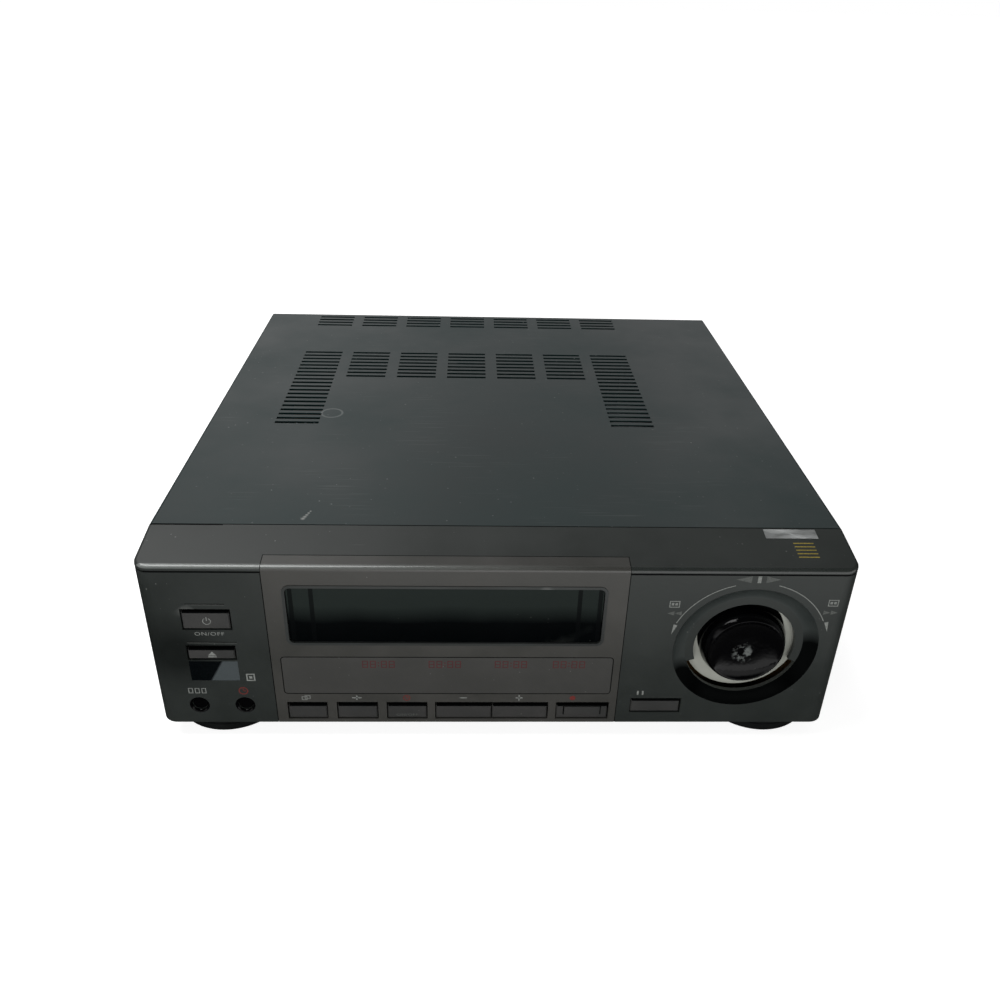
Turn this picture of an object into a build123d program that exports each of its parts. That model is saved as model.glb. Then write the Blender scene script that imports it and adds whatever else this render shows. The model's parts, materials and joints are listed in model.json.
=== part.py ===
from build123d import *
import math
import os

# The deck is modelled with x to the right, y going back from the flat of its front and z up from
# the underside of its case. Each piece moves to the reference point when it is written.

# Case
body_width = 355.0
body_depth = 361.3
body_height = 103.4
front_height = 98.8
bezel_depth = 32.2
corner_radius = 8.0
edge_radius = 2.0
foot_height = 9.6
foot_sides = 36

# Stock and fits
sheet = 1.0
wall = 2.5
gap = 0.3
slip = 0.05
past = 1.0
post = 3.0

# Bezel
bottom_lip = 14.0
tongue_reach = 6.0
tongue_wall = 1.5
shadow_line = 1.0
shadow_depth = 0.8
shadow_drop = 2.2
tongue_root = 3.0
backing_sides = 8
boss_gap = 1.0
boss_edge = 2.0
boss_rise = 22.0

# Centre panel, window and display
panel_offset = 61.6
dial_side = 114.5
panel_wall = 2.2
panel_lip = 9.0
rail = 3.0
rail_wall = 2.0
lip_drop = 4.7
shelf_reach = 4.0
shelf_wall = 1.5
shelf_drop = 10.7
row_notch = 5.0
window_inset = 8.9
window_margin = 10.0
window_z = 52.0
window_height = 36.5
window_radius = 4.0
frame_wall = 1.5
frame_depth = 6.0
frame_proud = 0.4
frame_flange = 2.5
flange_wall = 1.2
display_inset = 4.9
display_margin = 4.0
display_z = 20.0
display_height = 24.0
pocket_depth = 1.5
ledge = 1.6

# Cassette door
door_thickness = 2.0
door_set_back = 0.6
hinge_depth = 3.6
hinge_drop = 2.0
hinge_rib = 1.0
hinge_pin_radius = 0.9
hinge_reach = 3.0
hinge_seat = 3.0
rib_inset = 2.0
rib_seat = 1.0

# Push buttons
button_gap = 0.4
column_side_gap = 1.0
row_side_gap = 0.6
button_recess = 0.4
button_body = 2.5
button_lip = 1.2
button_edge = 0.5
stem_side = 4.0
press_travel = 0.6
press_clear = 0.1
left_column = 32.1
column_width = 24.7
power_z = 61.2
power_height = 12.9
power_drop = 2.4
eject_z = 42.1
eject_height = 9.4
eject_drop = 3.0
sensor_z = 28.6
sensor_height = 12.6
small_radius = 3.9
small_mouth = 5.2
small_cone = 1.4
small_z = 12.0
counter_offset = 21.5
timer_offset = 45.2
small_recess = 1.6
row_z = 2.3
row_height = 11.7
row_drop = 2.8
row_starts = (0.0302, 0.1744, 0.3208, 0.4634, 0.8211)
row_ends = (0.1476, 0.2957, 0.4410, 0.7988, 0.9793)
rocker_split = 0.5
bar_side = 4.7
bar_height = 5.3
bar_proud = 0.6
pause_gap = 7.5
pause_reach = 29.0
pause_z = 6.9
pause_height = 9.9
pause_drop = 1.8

# Shuttle dial
dial_offset = 50.9
dial_z = 50.0
dish_radius = 37.5
dish_depth = 3.0
cove_width = 3.0
dish_floor = 2.2
dish_rim = 2.4
opening_radius = 26.2
lower_radius = 30.5
lower_start = 200.0
lower_end = 340.0
ring_radius = 29.5
ring_wall = 1.6
ring_clear = 2.2
knob_radius = 19.8
knob_base = 22.4
knob_step = 2.5
knob_rim = 1.5
knob_proud = 2.0
knob_dish = 3.4
dial_sides = 48
shaft_radius = 3.0
bush_side = 5.0
bush_length = 4.0
encoder_side = 15.0
encoder_body = 6.0
shaft_seat = 3.0

# Front board
board_y = 20.0
board_wall = 1.6
board_margin = 9.5
board_bottom = 3.0
board_top = 47.0
left_tower = 80.0
right_tower = 88.0
switch_side = 6.0
switch_body = 3.5
plunger = 1.5
plunger_side = 3.0
tube_y = 6.0
tube_depth = 6.0
tube_margin = 10.0
tube_rise = 2.0
lead_side = 2.0
lead_inset = 6.0
lead_margin = 1.0
tube_edge = 1.0

# Cassette way
cassette_width = 95.0
cassette_depth = 62.5
cassette_height = 15.0
cassette_clear = 0.4
chute_depth = 39.5
chute_wall = 1.5
chute_floor = 52.3
chute_rise = 4.2
mouth_clear = 1.0
chute_margin = 1.0
chute_leg_gap = 4.0
chute_foot = 9.0
holder_sheet = 0.8
holder_ledge = 6.0
holder_y = 41.3
holder_floor = 58.0
holder_travel = 45.0
holder_drop = 22.0
lug = 3.0
pin_radius = 1.5
lug_inset = 11.0
slider_gap = 0.7
slider_rise = 2.4
slider_margin = 3.0
slider_foot = 18.0
loader_gap = 1.0
loader_margin = 44.0
loader_top = 86.0
slot_z = 71.0
slot_lug_inset = 6.0
brace_width = 14.0
spring_slot = 18.0
spring_width = 8.0
spring_front = 14.0
spring_back = 10.0
spring_gap = 2.0
spring_root = 9.0
roof_side = 14.0
roof_end = 12.0
loader_foot = 7.0
loader_web = 12.0
loader_sill = 8.0
loader_head = 14.0

# Rack, loading gear and its motor
gear_module = 1.2
gear_teeth = 15
tooth_height = 0.8
tooth_root = 1.1
backlash = 0.3
gear_width = 3.0
rack_base = 1.4
pressure_angle = 20.0
root_taper = 0.6
spare_teeth = 3
gear_y = 101.0
gear_shaft_radius = 2.0
motor_half = 9.0
motor_length = 24.0
motor_seat = 8.0
motor_grip = 6.0
motor_edge = 3.0

# Tape deck
deck_z = 24.0
deck_wall = 1.6
deck_front = 42.0
deck_rear = 210.0
deck_side = 65.0
deck_flange = 6.0
deck_leg = 12.0
opening_half = 30.0
opening_front = 14.0
opening_back = 30.0
reel_spacing = 43.0
reel_y = 111.0
reel_radius = 14.0
reel_wall = 2.0
reel_hub_radius = 4.4
reel_hub_top = 44.0
reel_sides = 24
reel_pin_radius = 1.5
reel_fin = 1.6
drum_radius = 20.0
drum_y = 184.0
drum_tilt = 5.0
drum_sides = 48
lower_drum_height = 14.0
upper_drum_height = 12.0
drum_shaft_radius = 3.0
drum_grip = 7.0
drum_seat = 3.0
head_width = 3.0
head_depth = 2.0
head_rise = 1.6
head_turn = 20.0
capstan_radius = 1.5
capstan_offset = 34.0
capstan_y = 166.0
capstan_top = 52.0
capstan_motor_side = 28.0
motor_drop = 4.0
motor_height = 8.0
motor_ear = 4.0
roller_radius = 6.0
roller_height = 12.0
roller_z = 36.0
arm_length = 20.0
arm_swing = 24.0
arm_wall = 2.0
arm_end = 4.5
arm_pin_radius = 2.0
arm_sides = 8
press_angle = 20.0
pivot_angle = 75.0
guide_radius = 2.0
guide_height = 26.0
guide_sides = 16
guide_left = 34.0
guide_right = 26.0
guide_ahead = 25.0

# Main board, power supply and rear
main_z = 8.0
main_front = 46.0
main_clear = 9.0
main_rear_gap = 14.0
rear_recess = 3.0
rear_wall = 1.2
rear_edge = 1.0
rear_foot = 9.0
rear_foot_inset = 4.0
tab_inset = 6.0
connector_length = 11.0
jack_radius = 4.15
jack_length = 9.0
jack_pitch = 15.0
jack_offset = 91.0
jack_z = 34.0
jack_block_depth = 16.0
jack_wall = 1.0
jack_hollow = 6.0
jack_board_side = 3.0
antenna_radius = 4.7
antenna_pitch = 22.0
antenna_offset = 40.0
antenna_z = 50.0
tuner_width = 52.0
tuner_depth = 44.0
tuner_height = 58.0
lid_rim = 4.0
lid_sink = 0.6
antenna_plate = 2.0
shield_offset = 56.5
shield_width = 34.0
shield_depth = 40.0
shield_y = 172.0
shield_top = 93.0
capacitor_radius = 11.0
capacitor_height = 34.0
capacitor_sides = 24
capacitor_x = 22.0
capacitor_y = 52.0
inlet_offset = 38.0
inlet_z = 30.0
inlet_width = 22.0
inlet_height = 14.0
inlet_depth = 16.0
inlet_hole_width = 17.0
inlet_hole_height = 9.0
inlet_hole_depth = 12.0
inlet_pin_radius = 1.2
inlet_pin_pitch = 8.0
inlet_pin_drop = 2.0
inlet_flange_x = 4.0
inlet_flange_z = 2.0
inlet_flange_wall = 2.0
power_board_width = 76.0
power_board_depth = 180.0
core_width = 50.0
core_depth = 22.0
core_height = 44.0
limb = 18.0
core_window = 8.0
core_inset = 4.0
winding_wall = 7.4
winding_edge = 3.0
sink_width = 40.0
sink_height = 83.0
sink_fins = 8
sink_fin = 1.2
sink_depth = 12.0
sink_inset = 18.0
sink_web = 2.5

# Feet
foot_radius = 30.0
foot_inset_x = 30.5
foot_inset_y = 33.0
flange_rise = 22.0
step_lap = 2.0
lip_height = 2.0
skirt_gap = 3.0

# Vents
vent_offset = 40.7
vent_width = 27.0
vent_pitch = 34.97
vent_groups = 7
slot_width = 3.0
slot_pitch = 6.4
tall_start = 152.3
tall_slots = 20
short_slots = 8
rear_start = 334.5
rear_slots = 4
floor_slots = 8
floor_slot_x = 20.0
floor_slot_length = 54.0
floor_slot_start = 224.0

# Chips on the main board: across and back from its corner, then width, depth and height
chips = (
    (20, 30, 24, 24, 3.0),
    (62, 26, 30, 11, 4.0),
    (60, 52, 18, 18, 2.6),
    (24, 78, 30, 12, 4.0),
    (70, 84, 20, 20, 2.8),
    (26, 206, 28, 14, 3.4),
    (70, 190, 22, 22, 2.8),
)

# Places that follow from the sizes above
left_edge = -body_width / 2
right_edge = body_width / 2
slope = math.atan2(body_height - front_height, bezel_depth)
panel_x0 = left_edge + panel_offset
panel_x1 = right_edge - dial_side
panel_width = panel_x1 - panel_x0
window_x0 = panel_x0 + window_inset
window_x1 = panel_x1 - window_margin
window_top = window_z + window_height
display_x0 = panel_x0 + display_inset
display_x1 = panel_x1 - display_margin
loader_x = (window_x0 + window_x1) / 2
hinge_z = window_top - frame_wall - gap - hinge_drop
door_y0 = door_set_back
door_x0 = window_x0 + frame_wall + gap
door_x1 = window_x1 - frame_wall - gap
door_z0 = window_z + frame_wall + gap
door_z1 = window_top - frame_wall - gap
plunger_y = board_y - switch_body - plunger
stem_end = plunger_y - press_travel - press_clear
dial_x = right_edge - dial_offset
pause_x0 = panel_x1 + pause_gap
pause_x1 = dial_x - pause_reach
ring_y = dish_depth + dish_floor + ring_clear
encoder_y = board_y - encoder_body
bush_y = encoder_y - bush_length
holder_half = cassette_width / 2 + cassette_clear + holder_sheet
slider_half = holder_half + slider_gap
loader_half = slider_half + holder_sheet + loader_gap
holder_depth = cassette_depth + cassette_clear
holder_top = holder_floor + cassette_height + cassette_clear
holder_lug_z = holder_floor + cassette_height / 2
slider_top = holder_top + holder_sheet + slider_rise
loader_rear = holder_y + holder_depth + holder_travel
pitch_radius = gear_module * gear_teeth / 2
rack_pitch_z = slider_top + holder_sheet + rack_base + tooth_root * gear_module
gear_z = rack_pitch_z + pitch_radius
gear_x0 = loader_x + slider_half - gear_width - 1.0
motor_x0 = loader_x + loader_half + sheet
deck_top = deck_z + deck_wall
rear_face = body_depth - rear_recess
rear_inner = rear_face - rear_wall
capstan_x = loader_x + capstan_offset
drum_x = loader_x
main_x0 = loader_x + deck_side + 14.0
main_x1 = right_edge - main_clear
main_rear = rear_inner - main_rear_gap
front_reach = knob_proud
rear_reach = rear_face + connector_length
to_origin = Pos(0, -(rear_reach - front_reach) / 2, foot_height)


def block(x0, x1, y0, y1, z0, z1):
    return Pos((x0 + x1) / 2, (y0 + y1) / 2, (z0 + z1) / 2) * Box(x1 - x0, y1 - y0, z1 - z0)


def rod_x(radius, x0, x1, y, z):
    return Pos((x0 + x1) / 2, y, z) * Rot(0, 90, 0) * Cylinder(radius, x1 - x0)


def rod_y(radius, x, y0, y1, z):
    return Pos(x, (y0 + y1) / 2, z) * Rot(90, 0, 0) * Cylinder(radius, y1 - y0)


def rod_z(radius, x, y, z0, z1):
    return Pos(x, y, (z0 + z1) / 2) * Cylinder(radius, z1 - z0)


# A sketch drawn in x and z becomes a solid from y0 back to y1.
def push_back(sketch, y0, y1):
    front = Plane(origin=(0, y1, 0), x_dir=(1, 0, 0), z_dir=(0, -1, 0))
    return extrude(front * sketch, amount=y1 - y0)


def rounded(x0, x1, z0, z1, radius):
    return Pos((x0 + x1) / 2, (z0 + z1) / 2) * RectangleRounded(x1 - x0, z1 - z0, radius)


# A profile of radius and depth turned round the dial's own axis.
def turned_y(points, x, z):
    profile = make_face(Polyline(*points, close=True))
    return Pos(x, 0, z) * revolve(profile, Axis.Y)


def turned_z(points, x, y):
    profile = make_face(Polyline(*[(r, 0, z) for r, z in points], close=True))
    return Pos(x, y, 0) * revolve(profile, Axis.Z)


# The outer form of the front moulding, drawn in by an inset: round plan corners and a sloped top.
def bezel_form(inset, y_back, z_low):
    half = body_width / 2 - inset
    plan = Pos(0, (inset + y_back) / 2) * Rectangle(2 * half, y_back - inset)
    plan = fillet(plan.vertices().group_by(Axis.Y)[0], corner_radius - inset)
    upright = Pos(0, 0, z_low) * extrude(plan, amount=body_height - z_low + past)
    normal = Vector(0, -math.sin(slope), math.cos(slope))
    top = Plane(origin=Vector(0, 0, front_height) - normal * inset, x_dir=(1, 0, 0), z_dir=normal)
    return split(upright, bisect_by=top, keep=Keep.BOTTOM)


def bezel_skin():
    skin = bezel_form(0, bezel_depth, 0)
    top = skin.faces().sort_by(Axis.Z)[-1]
    return fillet(top.edges().sort_by(Axis.Y)[:-1], edge_radius)


def window_hole(grow):
    x0, x1 = window_x0 - grow, window_x1 + grow
    return rounded(x0, x1, window_z - grow, window_top + grow, window_radius + grow)


# Holes of the row of buttons under the display, as left and right edges.
def row_holes():
    shares = zip(row_starts, row_ends)
    return [(panel_x0 + start * panel_width, panel_x0 + end * panel_width) for start, end in shares]


def dial_opening():
    angles = (lower_start, (lower_start + lower_end) / 2, lower_end)
    turns = [math.radians(angle) for angle in angles]
    start, bottom, end = [(lower_radius * math.cos(a), lower_radius * math.sin(a)) for a in turns]
    sector = make_face([Line((0, 0), start), ThreePointArc(start, bottom, end), Line(end, (0, 0))])
    return Pos(dial_x, dial_z) * (Circle(opening_radius) + sector)


# A cutter that flares from a flat bottom to its mouth at the front.
def flared_cut(mouth, bottom, depth, x, z):
    points = [(0, -past), (mouth, -past), (mouth, 0), (bottom, depth), (0, depth)]
    return turned_y(points, x, z)


# The tongue that slides into the cover's front end.
def bezel_tongue():
    half = body_width / 2 - sheet - gap
    top = body_height - sheet - gap
    outline = Pos(0, top / 2) * Rectangle(2 * half, top)
    outline = fillet(outline.vertices().group_by(Axis.Y)[-1], edge_radius)
    hollow = Pos(0, top / 2 - tongue_wall) * Rectangle(2 * (half - tongue_wall), top)
    tongue = push_back(outline - hollow, bezel_depth - tongue_root, bezel_depth + tongue_reach)
    return tongue - block(left_edge, right_edge, 0, body_depth, -past, flange_rise + skirt_gap)


# Room for the centre panel, which stands in the same skin as the moulding round it.
def panel_cuts():
    x0 = panel_x0 - gap
    x1 = panel_x1 + gap
    lip = front_height - wall - lip_drop
    cuts = block(x0, x1, -past, panel_wall, -past, body_height)
    cuts += block(x0, x1, -past, wall + past, row_z - gap, lip)
    cuts += block(x0, x1, panel_wall - past, bottom_lip + past, row_z - gap, row_z + row_notch)
    return cuts + block(x0, x1, -past, panel_lip + gap, lip, body_height)


# Rails behind the panel's edges and a shelf under its lip.
def panel_seat():
    back = panel_wall + rail_wall
    seat = block(panel_x0 - rail, panel_x0 + rail, panel_wall, back, sheet, front_height - wall)
    seat += block(panel_x1 - rail, panel_x1 + rail, panel_wall, back, sheet, front_height - wall)
    front, back = panel_lip - shelf_reach, panel_lip + shelf_reach
    under = bezel_form(panel_wall, back, 0)
    under -= bezel_form(panel_wall + shelf_wall, back + past, -past)
    shelf = block(panel_x0 - 1, panel_x1 + 1, front, back, front_height - shelf_drop, body_height)
    return seat + (under & shelf)


# The dark line scored round the moulding a little below its top.
def shadow_groove():
    top = front_height - shadow_drop
    ring = bezel_form(-past, bezel_depth, 0) - bezel_form(shadow_depth, bezel_depth + past, -past)
    return ring & block(left_edge - 2, right_edge + 2, -2, bezel_depth / 2, top - shadow_line, top)


def column_cut(z0, height, depth, inset=0.0):
    middle = left_edge + left_column
    half = column_width / 2 - inset
    return block(middle - half, middle + half, -past, depth, z0 + inset, z0 + height - inset)


def front_bezel():
    bezel = bezel_skin() - bezel_form(wall, bezel_depth + past, wall)
    bezel -= block(left_edge + wall, right_edge - wall, bottom_lip, bezel_depth + past, -past, wall + past)
    bezel += bezel_tongue()
    half_turn = 180 / backing_sides
    backing = RegularPolygon(dish_radius + dish_rim, backing_sides, major_radius=False, rotation=half_turn)
    bezel += push_back(Pos(dial_x, dial_z) * backing, wall / 2, dish_depth + dish_floor)
    for x, z in bezel_bosses():
        bezel += block(x - post, x + post, wall / 2, board_y, z - post, z + post)
    bezel -= panel_cuts()
    bezel += panel_seat()
    bezel -= shadow_groove()
    bezel -= flared_cut(dish_radius, dish_radius - cove_width, dish_depth, dial_x, dial_z)
    bezel -= push_back(dial_opening(), 0, dish_depth + dish_floor + past)
    bezel -= column_cut(power_z, power_height, wall + past)
    bezel -= column_cut(eject_z, eject_height, wall + past)
    bezel -= column_cut(sensor_z, sensor_height, pocket_depth)
    bezel -= column_cut(sensor_z, sensor_height, wall + past, ledge)
    for offset in (counter_offset, timer_offset):
        x = left_edge + offset
        bezel -= rod_y(small_radius, x, 0, wall + past, small_z)
        bezel -= flared_cut(small_mouth, small_radius, small_cone, x, small_z)
    return bezel - block(pause_x0, pause_x1, -past, wall + past, pause_z, pause_z + pause_height)


# Places of the square posts that carry the front board.
def bezel_bosses():
    outer = left_edge + board_margin + post + boss_edge
    right = right_edge - board_margin - post - boss_edge
    return [
        (outer, board_bottom + boss_rise - post),
        (panel_x0 - rail - post - boss_gap, left_tower - post - boss_gap),
        (right, board_bottom + post + boss_gap),
        (panel_x1 + rail + post + boss_gap, right_tower - post - boss_gap),
    ]


def centre_panel():
    form = bezel_skin() & block(panel_x0, panel_x1, -past, panel_lip, 0, body_height)
    panel = form - bezel_form(panel_wall, panel_lip + past, -past)
    panel -= push_back(window_hole(slip), -past, panel_wall + past)
    panel -= block(display_x0, display_x1, -past, pocket_depth, display_z, display_z + display_height)
    low = display_z + ledge
    high = display_z + display_height - ledge
    panel -= block(display_x0 + ledge, display_x1 - ledge, -past, panel_wall + past, low, high)
    for x0, x1 in row_holes():
        panel -= block(x0, x1, -past, panel_wall + past, row_z, row_z + row_height)
    return panel


def window_frame():
    hole = window_hole(-frame_wall)
    frame = push_back(window_hole(0) - hole, -frame_proud, frame_depth)
    x0 = window_x0 - frame_flange
    x1 = window_x1 + frame_flange
    flange = Rectangle(x1 - x0, window_height + 2 * frame_flange)
    flange = Pos((x0 + x1) / 2, (window_z + window_top) / 2) * flange
    frame += push_back(flange - hole, panel_wall + gap, panel_wall + gap + flange_wall)
    # Notches open to the rear take the door's pins.
    half = hinge_pin_radius + slip
    y0, y1 = hinge_depth - half, frame_depth + past
    return frame - block(x0 - past, x1 + past, y0, y1, hinge_z - half, hinge_z + half)


def cassette_door():
    shape = rounded(door_x0, door_x1, door_z0, door_z1, window_radius - frame_wall - gap)
    door = push_back(shape, door_y0, door_y0 + door_thickness)
    x0, x1 = door_x0 + rib_inset, door_x1 - rib_inset
    y0, y1 = door_y0 + rib_seat, hinge_depth + rib_seat
    door += block(x0, x1, y0, y1, hinge_z - hinge_rib, hinge_z + hinge_rib)
    door += rod_x(hinge_pin_radius, door_x0 - hinge_reach, door_x0 + hinge_seat, hinge_depth, hinge_z)
    return door + rod_x(hinge_pin_radius, door_x1 - hinge_seat, door_x1 + hinge_reach, hinge_depth, hinge_z)


def display_window():
    z0 = display_z + slip
    return block(display_x0 + slip, display_x1 - slip, 0, pocket_depth, z0, display_z + display_height - slip)


def display_tube():
    x0 = display_x0 + tube_margin
    x1 = display_x1 - tube_margin
    z0 = display_z + tube_rise
    z1 = display_z + display_height - tube_rise
    back = tube_y + tube_depth
    tube = block(x0, x1, tube_y, back, z0, z1)
    tube = chamfer(tube.edges().filter_by(Axis.Y), tube_edge)
    x0 += lead_inset
    x1 -= lead_inset
    z0 += lead_margin
    z1 -= lead_margin
    tube += block(x0, x1, back, board_y, z0, z0 + lead_side)
    return tube + block(x0, x1, back, board_y, z1 - lead_side, z1)


def sensor_window():
    middle = left_edge + left_column
    half = column_width / 2 - slip
    z0 = sensor_z + slip
    return block(middle - half, middle + half, 0, pocket_depth, z0, sensor_z + sensor_height - slip)


# A cap that stands low in its hole, a lip above it behind the wall, and a stem that ends short
# of its switch.
def push_button(x0, x1, z0, z1, wall_back, side_gap, drop):
    cap_back = wall_back + button_body
    top = z1 - drop
    cap = block(x0 + button_gap, x1 - side_gap, button_recess, cap_back, z0 + button_gap, top)
    cap = chamfer(cap.faces().sort_by(Axis.Y)[0].edges(), button_edge)
    cap += block(x0 + button_lip, x1 - button_lip, wall_back + gap, cap_back, top - past, z1 + button_lip)
    x = (x0 + x1) / 2
    z = (z0 + z1) / 2
    half = stem_side / 2
    cap += block(x - half, x + half, cap_back - past, stem_end, z - half, z + half)
    return cap


def column_button(z0, height, drop):
    middle = left_edge + left_column
    half = column_width / 2
    return push_button(middle - half, middle + half, z0, z0 + height, wall, column_side_gap, drop)


def small_button(offset):
    x = left_edge + offset
    cap_back = wall + button_body
    radius = small_radius - button_gap
    lip = radius + button_lip
    half = stem_side / 2
    cap = rod_y(radius, x, small_recess, wall + gap, small_z)
    cap += block(x - lip, x + lip, wall + gap, cap_back, small_z - lip, small_z + lip)
    return cap + block(x - half, x + half, cap_back - past, stem_end, small_z - half, small_z + half)


def row_button(index):
    x0, x1 = row_holes()[index]
    return push_button(x0, x1, row_z, row_z + row_height, panel_wall, row_side_gap, row_drop)


def channel_button(side):
    x0, x1 = row_holes()[3]
    middle = (x0 + x1) / 2
    half = rocker_split / 2
    if side < 0:
        x1 = middle - half + row_side_gap
    else:
        x0 = middle + half - button_gap
    return push_button(x0, x1, row_z, row_z + row_height, panel_wall, row_side_gap, row_drop)


def record_button():
    x0, x1 = row_holes()[4]
    z0 = row_z + (row_height - bar_height) / 2
    front = button_recess - bar_proud
    bar = block(x0 + bar_side, x1 - bar_side, front, button_recess + past, z0, z0 + bar_height)
    return row_button(4) + bar


def pause_button():
    z1 = pause_z + pause_height
    return push_button(pause_x0, pause_x1, pause_z, z1, wall, row_side_gap, pause_drop)


# The knob has a broad base and a hollowed front.
def shuttle_knob():
    base = RegularPolygon(knob_base, dial_sides)
    face = RegularPolygon(knob_radius, dial_sides)
    hollow = RegularPolygon(knob_radius - knob_rim, dial_sides)
    knob = push_back(Pos(dial_x, dial_z) * base, knob_step, ring_y)
    knob += push_back(Pos(dial_x, dial_z) * face, -knob_proud, knob_step)
    return knob - push_back(Pos(dial_x, dial_z) * hollow, -knob_proud - past, knob_dish - knob_proud)


def shuttle_ring():
    face = RegularPolygon(ring_radius, dial_sides)
    ring = push_back(Pos(dial_x, dial_z) * face, ring_y, ring_y + ring_wall)
    return ring + rod_y(shaft_radius, dial_x, ring_y, encoder_y + shaft_seat, dial_z)


def shuttle_encoder():
    half = encoder_side / 2
    body = block(dial_x - half, dial_x + half, encoder_y, board_y, dial_z - half, dial_z + half)
    half = bush_side
    body += block(dial_x - half, dial_x + half, bush_y, encoder_y, dial_z - half, dial_z + half)
    return body - rod_y(shaft_radius + slip, dial_x, bush_y - past, encoder_y + shaft_seat + gap, dial_z)


def front_board():
    x0 = left_edge + board_margin
    x1 = right_edge - board_margin
    back = board_y + board_wall
    board = block(x0, x1, board_y, back, board_bottom, board_top)
    board += block(x0, panel_x0 - rail, board_y, back, board_bottom, left_tower)
    board += block(panel_x1 + rail, x1, board_y, back, board_bottom, right_tower)
    return board


def switch_places():
    middle = left_edge + left_column
    places = [(middle, power_z + power_height / 2), (middle, eject_z + eject_height / 2)]
    places += [(left_edge + offset, small_z) for offset in (counter_offset, timer_offset)]
    holes = row_holes()
    row_middle = row_z + row_height / 2
    places += [((holes[i][0] + holes[i][1]) / 2, row_middle) for i in (0, 1, 2, 4)]
    x0, x1 = holes[3]
    quarter = (x1 - x0 + rocker_split) / 4
    places += [(x0 + quarter, row_middle), (x1 - quarter, row_middle)]
    places += [((pause_x0 + pause_x1) / 2, pause_z + pause_height / 2)]
    return places


def front_switches():
    half = switch_side / 2
    tip = plunger_side / 2
    switches = []
    for x, z in switch_places():
        body = block(x - half, x + half, board_y - switch_body, board_y, z - half, z + half)
        body += block(x - tip, x + tip, plunger_y, board_y - past, z - tip, z + tip)
        switches.append(body)
    return Compound(children=switches)


# A sloped floor in profile, folded down at its rear end.
def chute_floor_outline():
    front = frame_depth + gap
    rise = chute_floor + chute_rise
    fold = chute_depth - chute_wall
    return make_face(
        Polyline(
            (front, chute_floor),
            (chute_depth, rise),
            (chute_depth, chute_floor - 2 * chute_wall),
            (fold, chute_floor - 2 * chute_wall),
            (fold, rise - chute_wall),
            (front, chute_floor - chute_wall),
            close=True,
        )
    )


def cassette_chute():
    x0 = door_x0 - chute_margin - chute_wall
    x1 = door_x1 + chute_margin + chute_wall
    front = frame_depth + gap
    top = slider_top + holder_sheet
    bottom = chute_floor - chute_wall
    chute = extrude(side_plane(x0) * chute_floor_outline(), amount=x1 - x0)
    chute += block(x0, x0 + chute_wall, front, chute_depth, bottom, top)
    chute += block(x1 - chute_wall, x1, front, chute_depth, bottom, top)
    chute += block(x0, x1, chute_depth - chute_wall, chute_depth, bottom, top)
    half = holder_half + mouth_clear
    mouth = (chute_floor + chute_rise, holder_top + holder_sheet + gap)
    chute -= block(loader_x - half, loader_x + half, 0, chute_depth + past, *mouth)
    y0 = board_y + board_wall + chute_leg_gap
    for x in (x0, x1 - post):
        chute += block(x, x + post, y0, chute_depth, sheet, chute_floor)
        chute += block(x, x + chute_foot, y0, chute_depth, sheet, sheet + chute_wall)
    return chute


# A sheet box open at both ends, with ledges for the cassette and springs cut from its roof.
def cassette_holder():
    x0 = loader_x - holder_half
    x1 = loader_x + holder_half
    y0 = holder_y
    y1 = holder_y + holder_depth
    holder = block(x0, x1, y0, y1, holder_floor - holder_sheet, holder_top + holder_sheet)
    inner = (x0 + holder_sheet, x1 - holder_sheet)
    holder -= block(*inner, y0 - past, y1 + past, holder_floor, holder_top)
    edge = holder_sheet + holder_ledge
    holder -= block(x0 + edge, x1 - edge, y0 - past, y1 + past, holder_floor - 2 * past, holder_floor + past)
    for side in (-1, 1):
        holder = with_spring(holder, loader_x + side * holder_half / 2)
        for y in holder_lug_rows():
            root = holder_half - holder_sheet / 2
            holder += side_lug(side, root, slider_half + holder_sheet + gap, y, holder_lug_z)
    return holder


# A flat spring left standing in a window of the roof, joined at its rear end.
def with_spring(holder, x):
    front = holder_y + spring_front
    back = holder_y + holder_depth - spring_back
    half = spring_slot / 2
    holder -= block(x - half, x + half, front, back, holder_top - past, holder_top + 2 * past)
    half = spring_width / 2
    back = holder_y + holder_depth - spring_root
    return holder + block(x - half, x + half, front + spring_gap, back, holder_top, holder_top + holder_sheet)


def holder_lug_rows():
    return (holder_y + lug_inset, holder_y + holder_depth - lug_inset)


def slider_lug_rows():
    return (holder_y + slot_lug_inset, holder_y + holder_depth - slot_lug_inset)


# A stamped lug that stands out sideways from a plate, on one side of the loader.
def side_lug(side, start, end, y, z):
    half = lug / 2
    a = loader_x + side * start
    b = loader_x + side * end
    return block(min(a, b), max(a, b), y - half, y + half, z - half, z + half)


# Straight flanks stand in for involutes, thinned by the backlash so that they roll freely.
def gear_outline():
    tip = pitch_radius + tooth_height * gear_module
    root = pitch_radius - tooth_root * gear_module
    pitch_half = math.pi / (2 * gear_teeth) - backlash / (2 * pitch_radius)
    spread = math.tan(math.radians(pressure_angle))
    tip_half = pitch_half - spread * tooth_height * gear_module / tip
    root_half = pitch_half + root_taper * spread * tooth_root * gear_module / root
    points = []
    for tooth in range(gear_teeth):
        angle = 2 * math.pi * tooth / gear_teeth - math.pi / 2
        for radius, turn in ((root, -root_half), (tip, -tip_half), (tip, tip_half), (root, root_half)):
            points.append((radius * math.cos(angle + turn), radius * math.sin(angle + turn)))
    return make_face(Polyline(*points, close=True))


def side_plane(x):
    return Plane(origin=(x, 0, 0), x_dir=(0, 1, 0), z_dir=(1, 0, 0))


def loading_gear():
    outline = Pos(gear_y, gear_z) * gear_outline()
    gear = extrude(side_plane(gear_x0) * outline, amount=gear_width)
    return gear + rod_x(gear_shaft_radius, gear_x0, motor_x0 + motor_grip, gear_y, gear_z)


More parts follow.
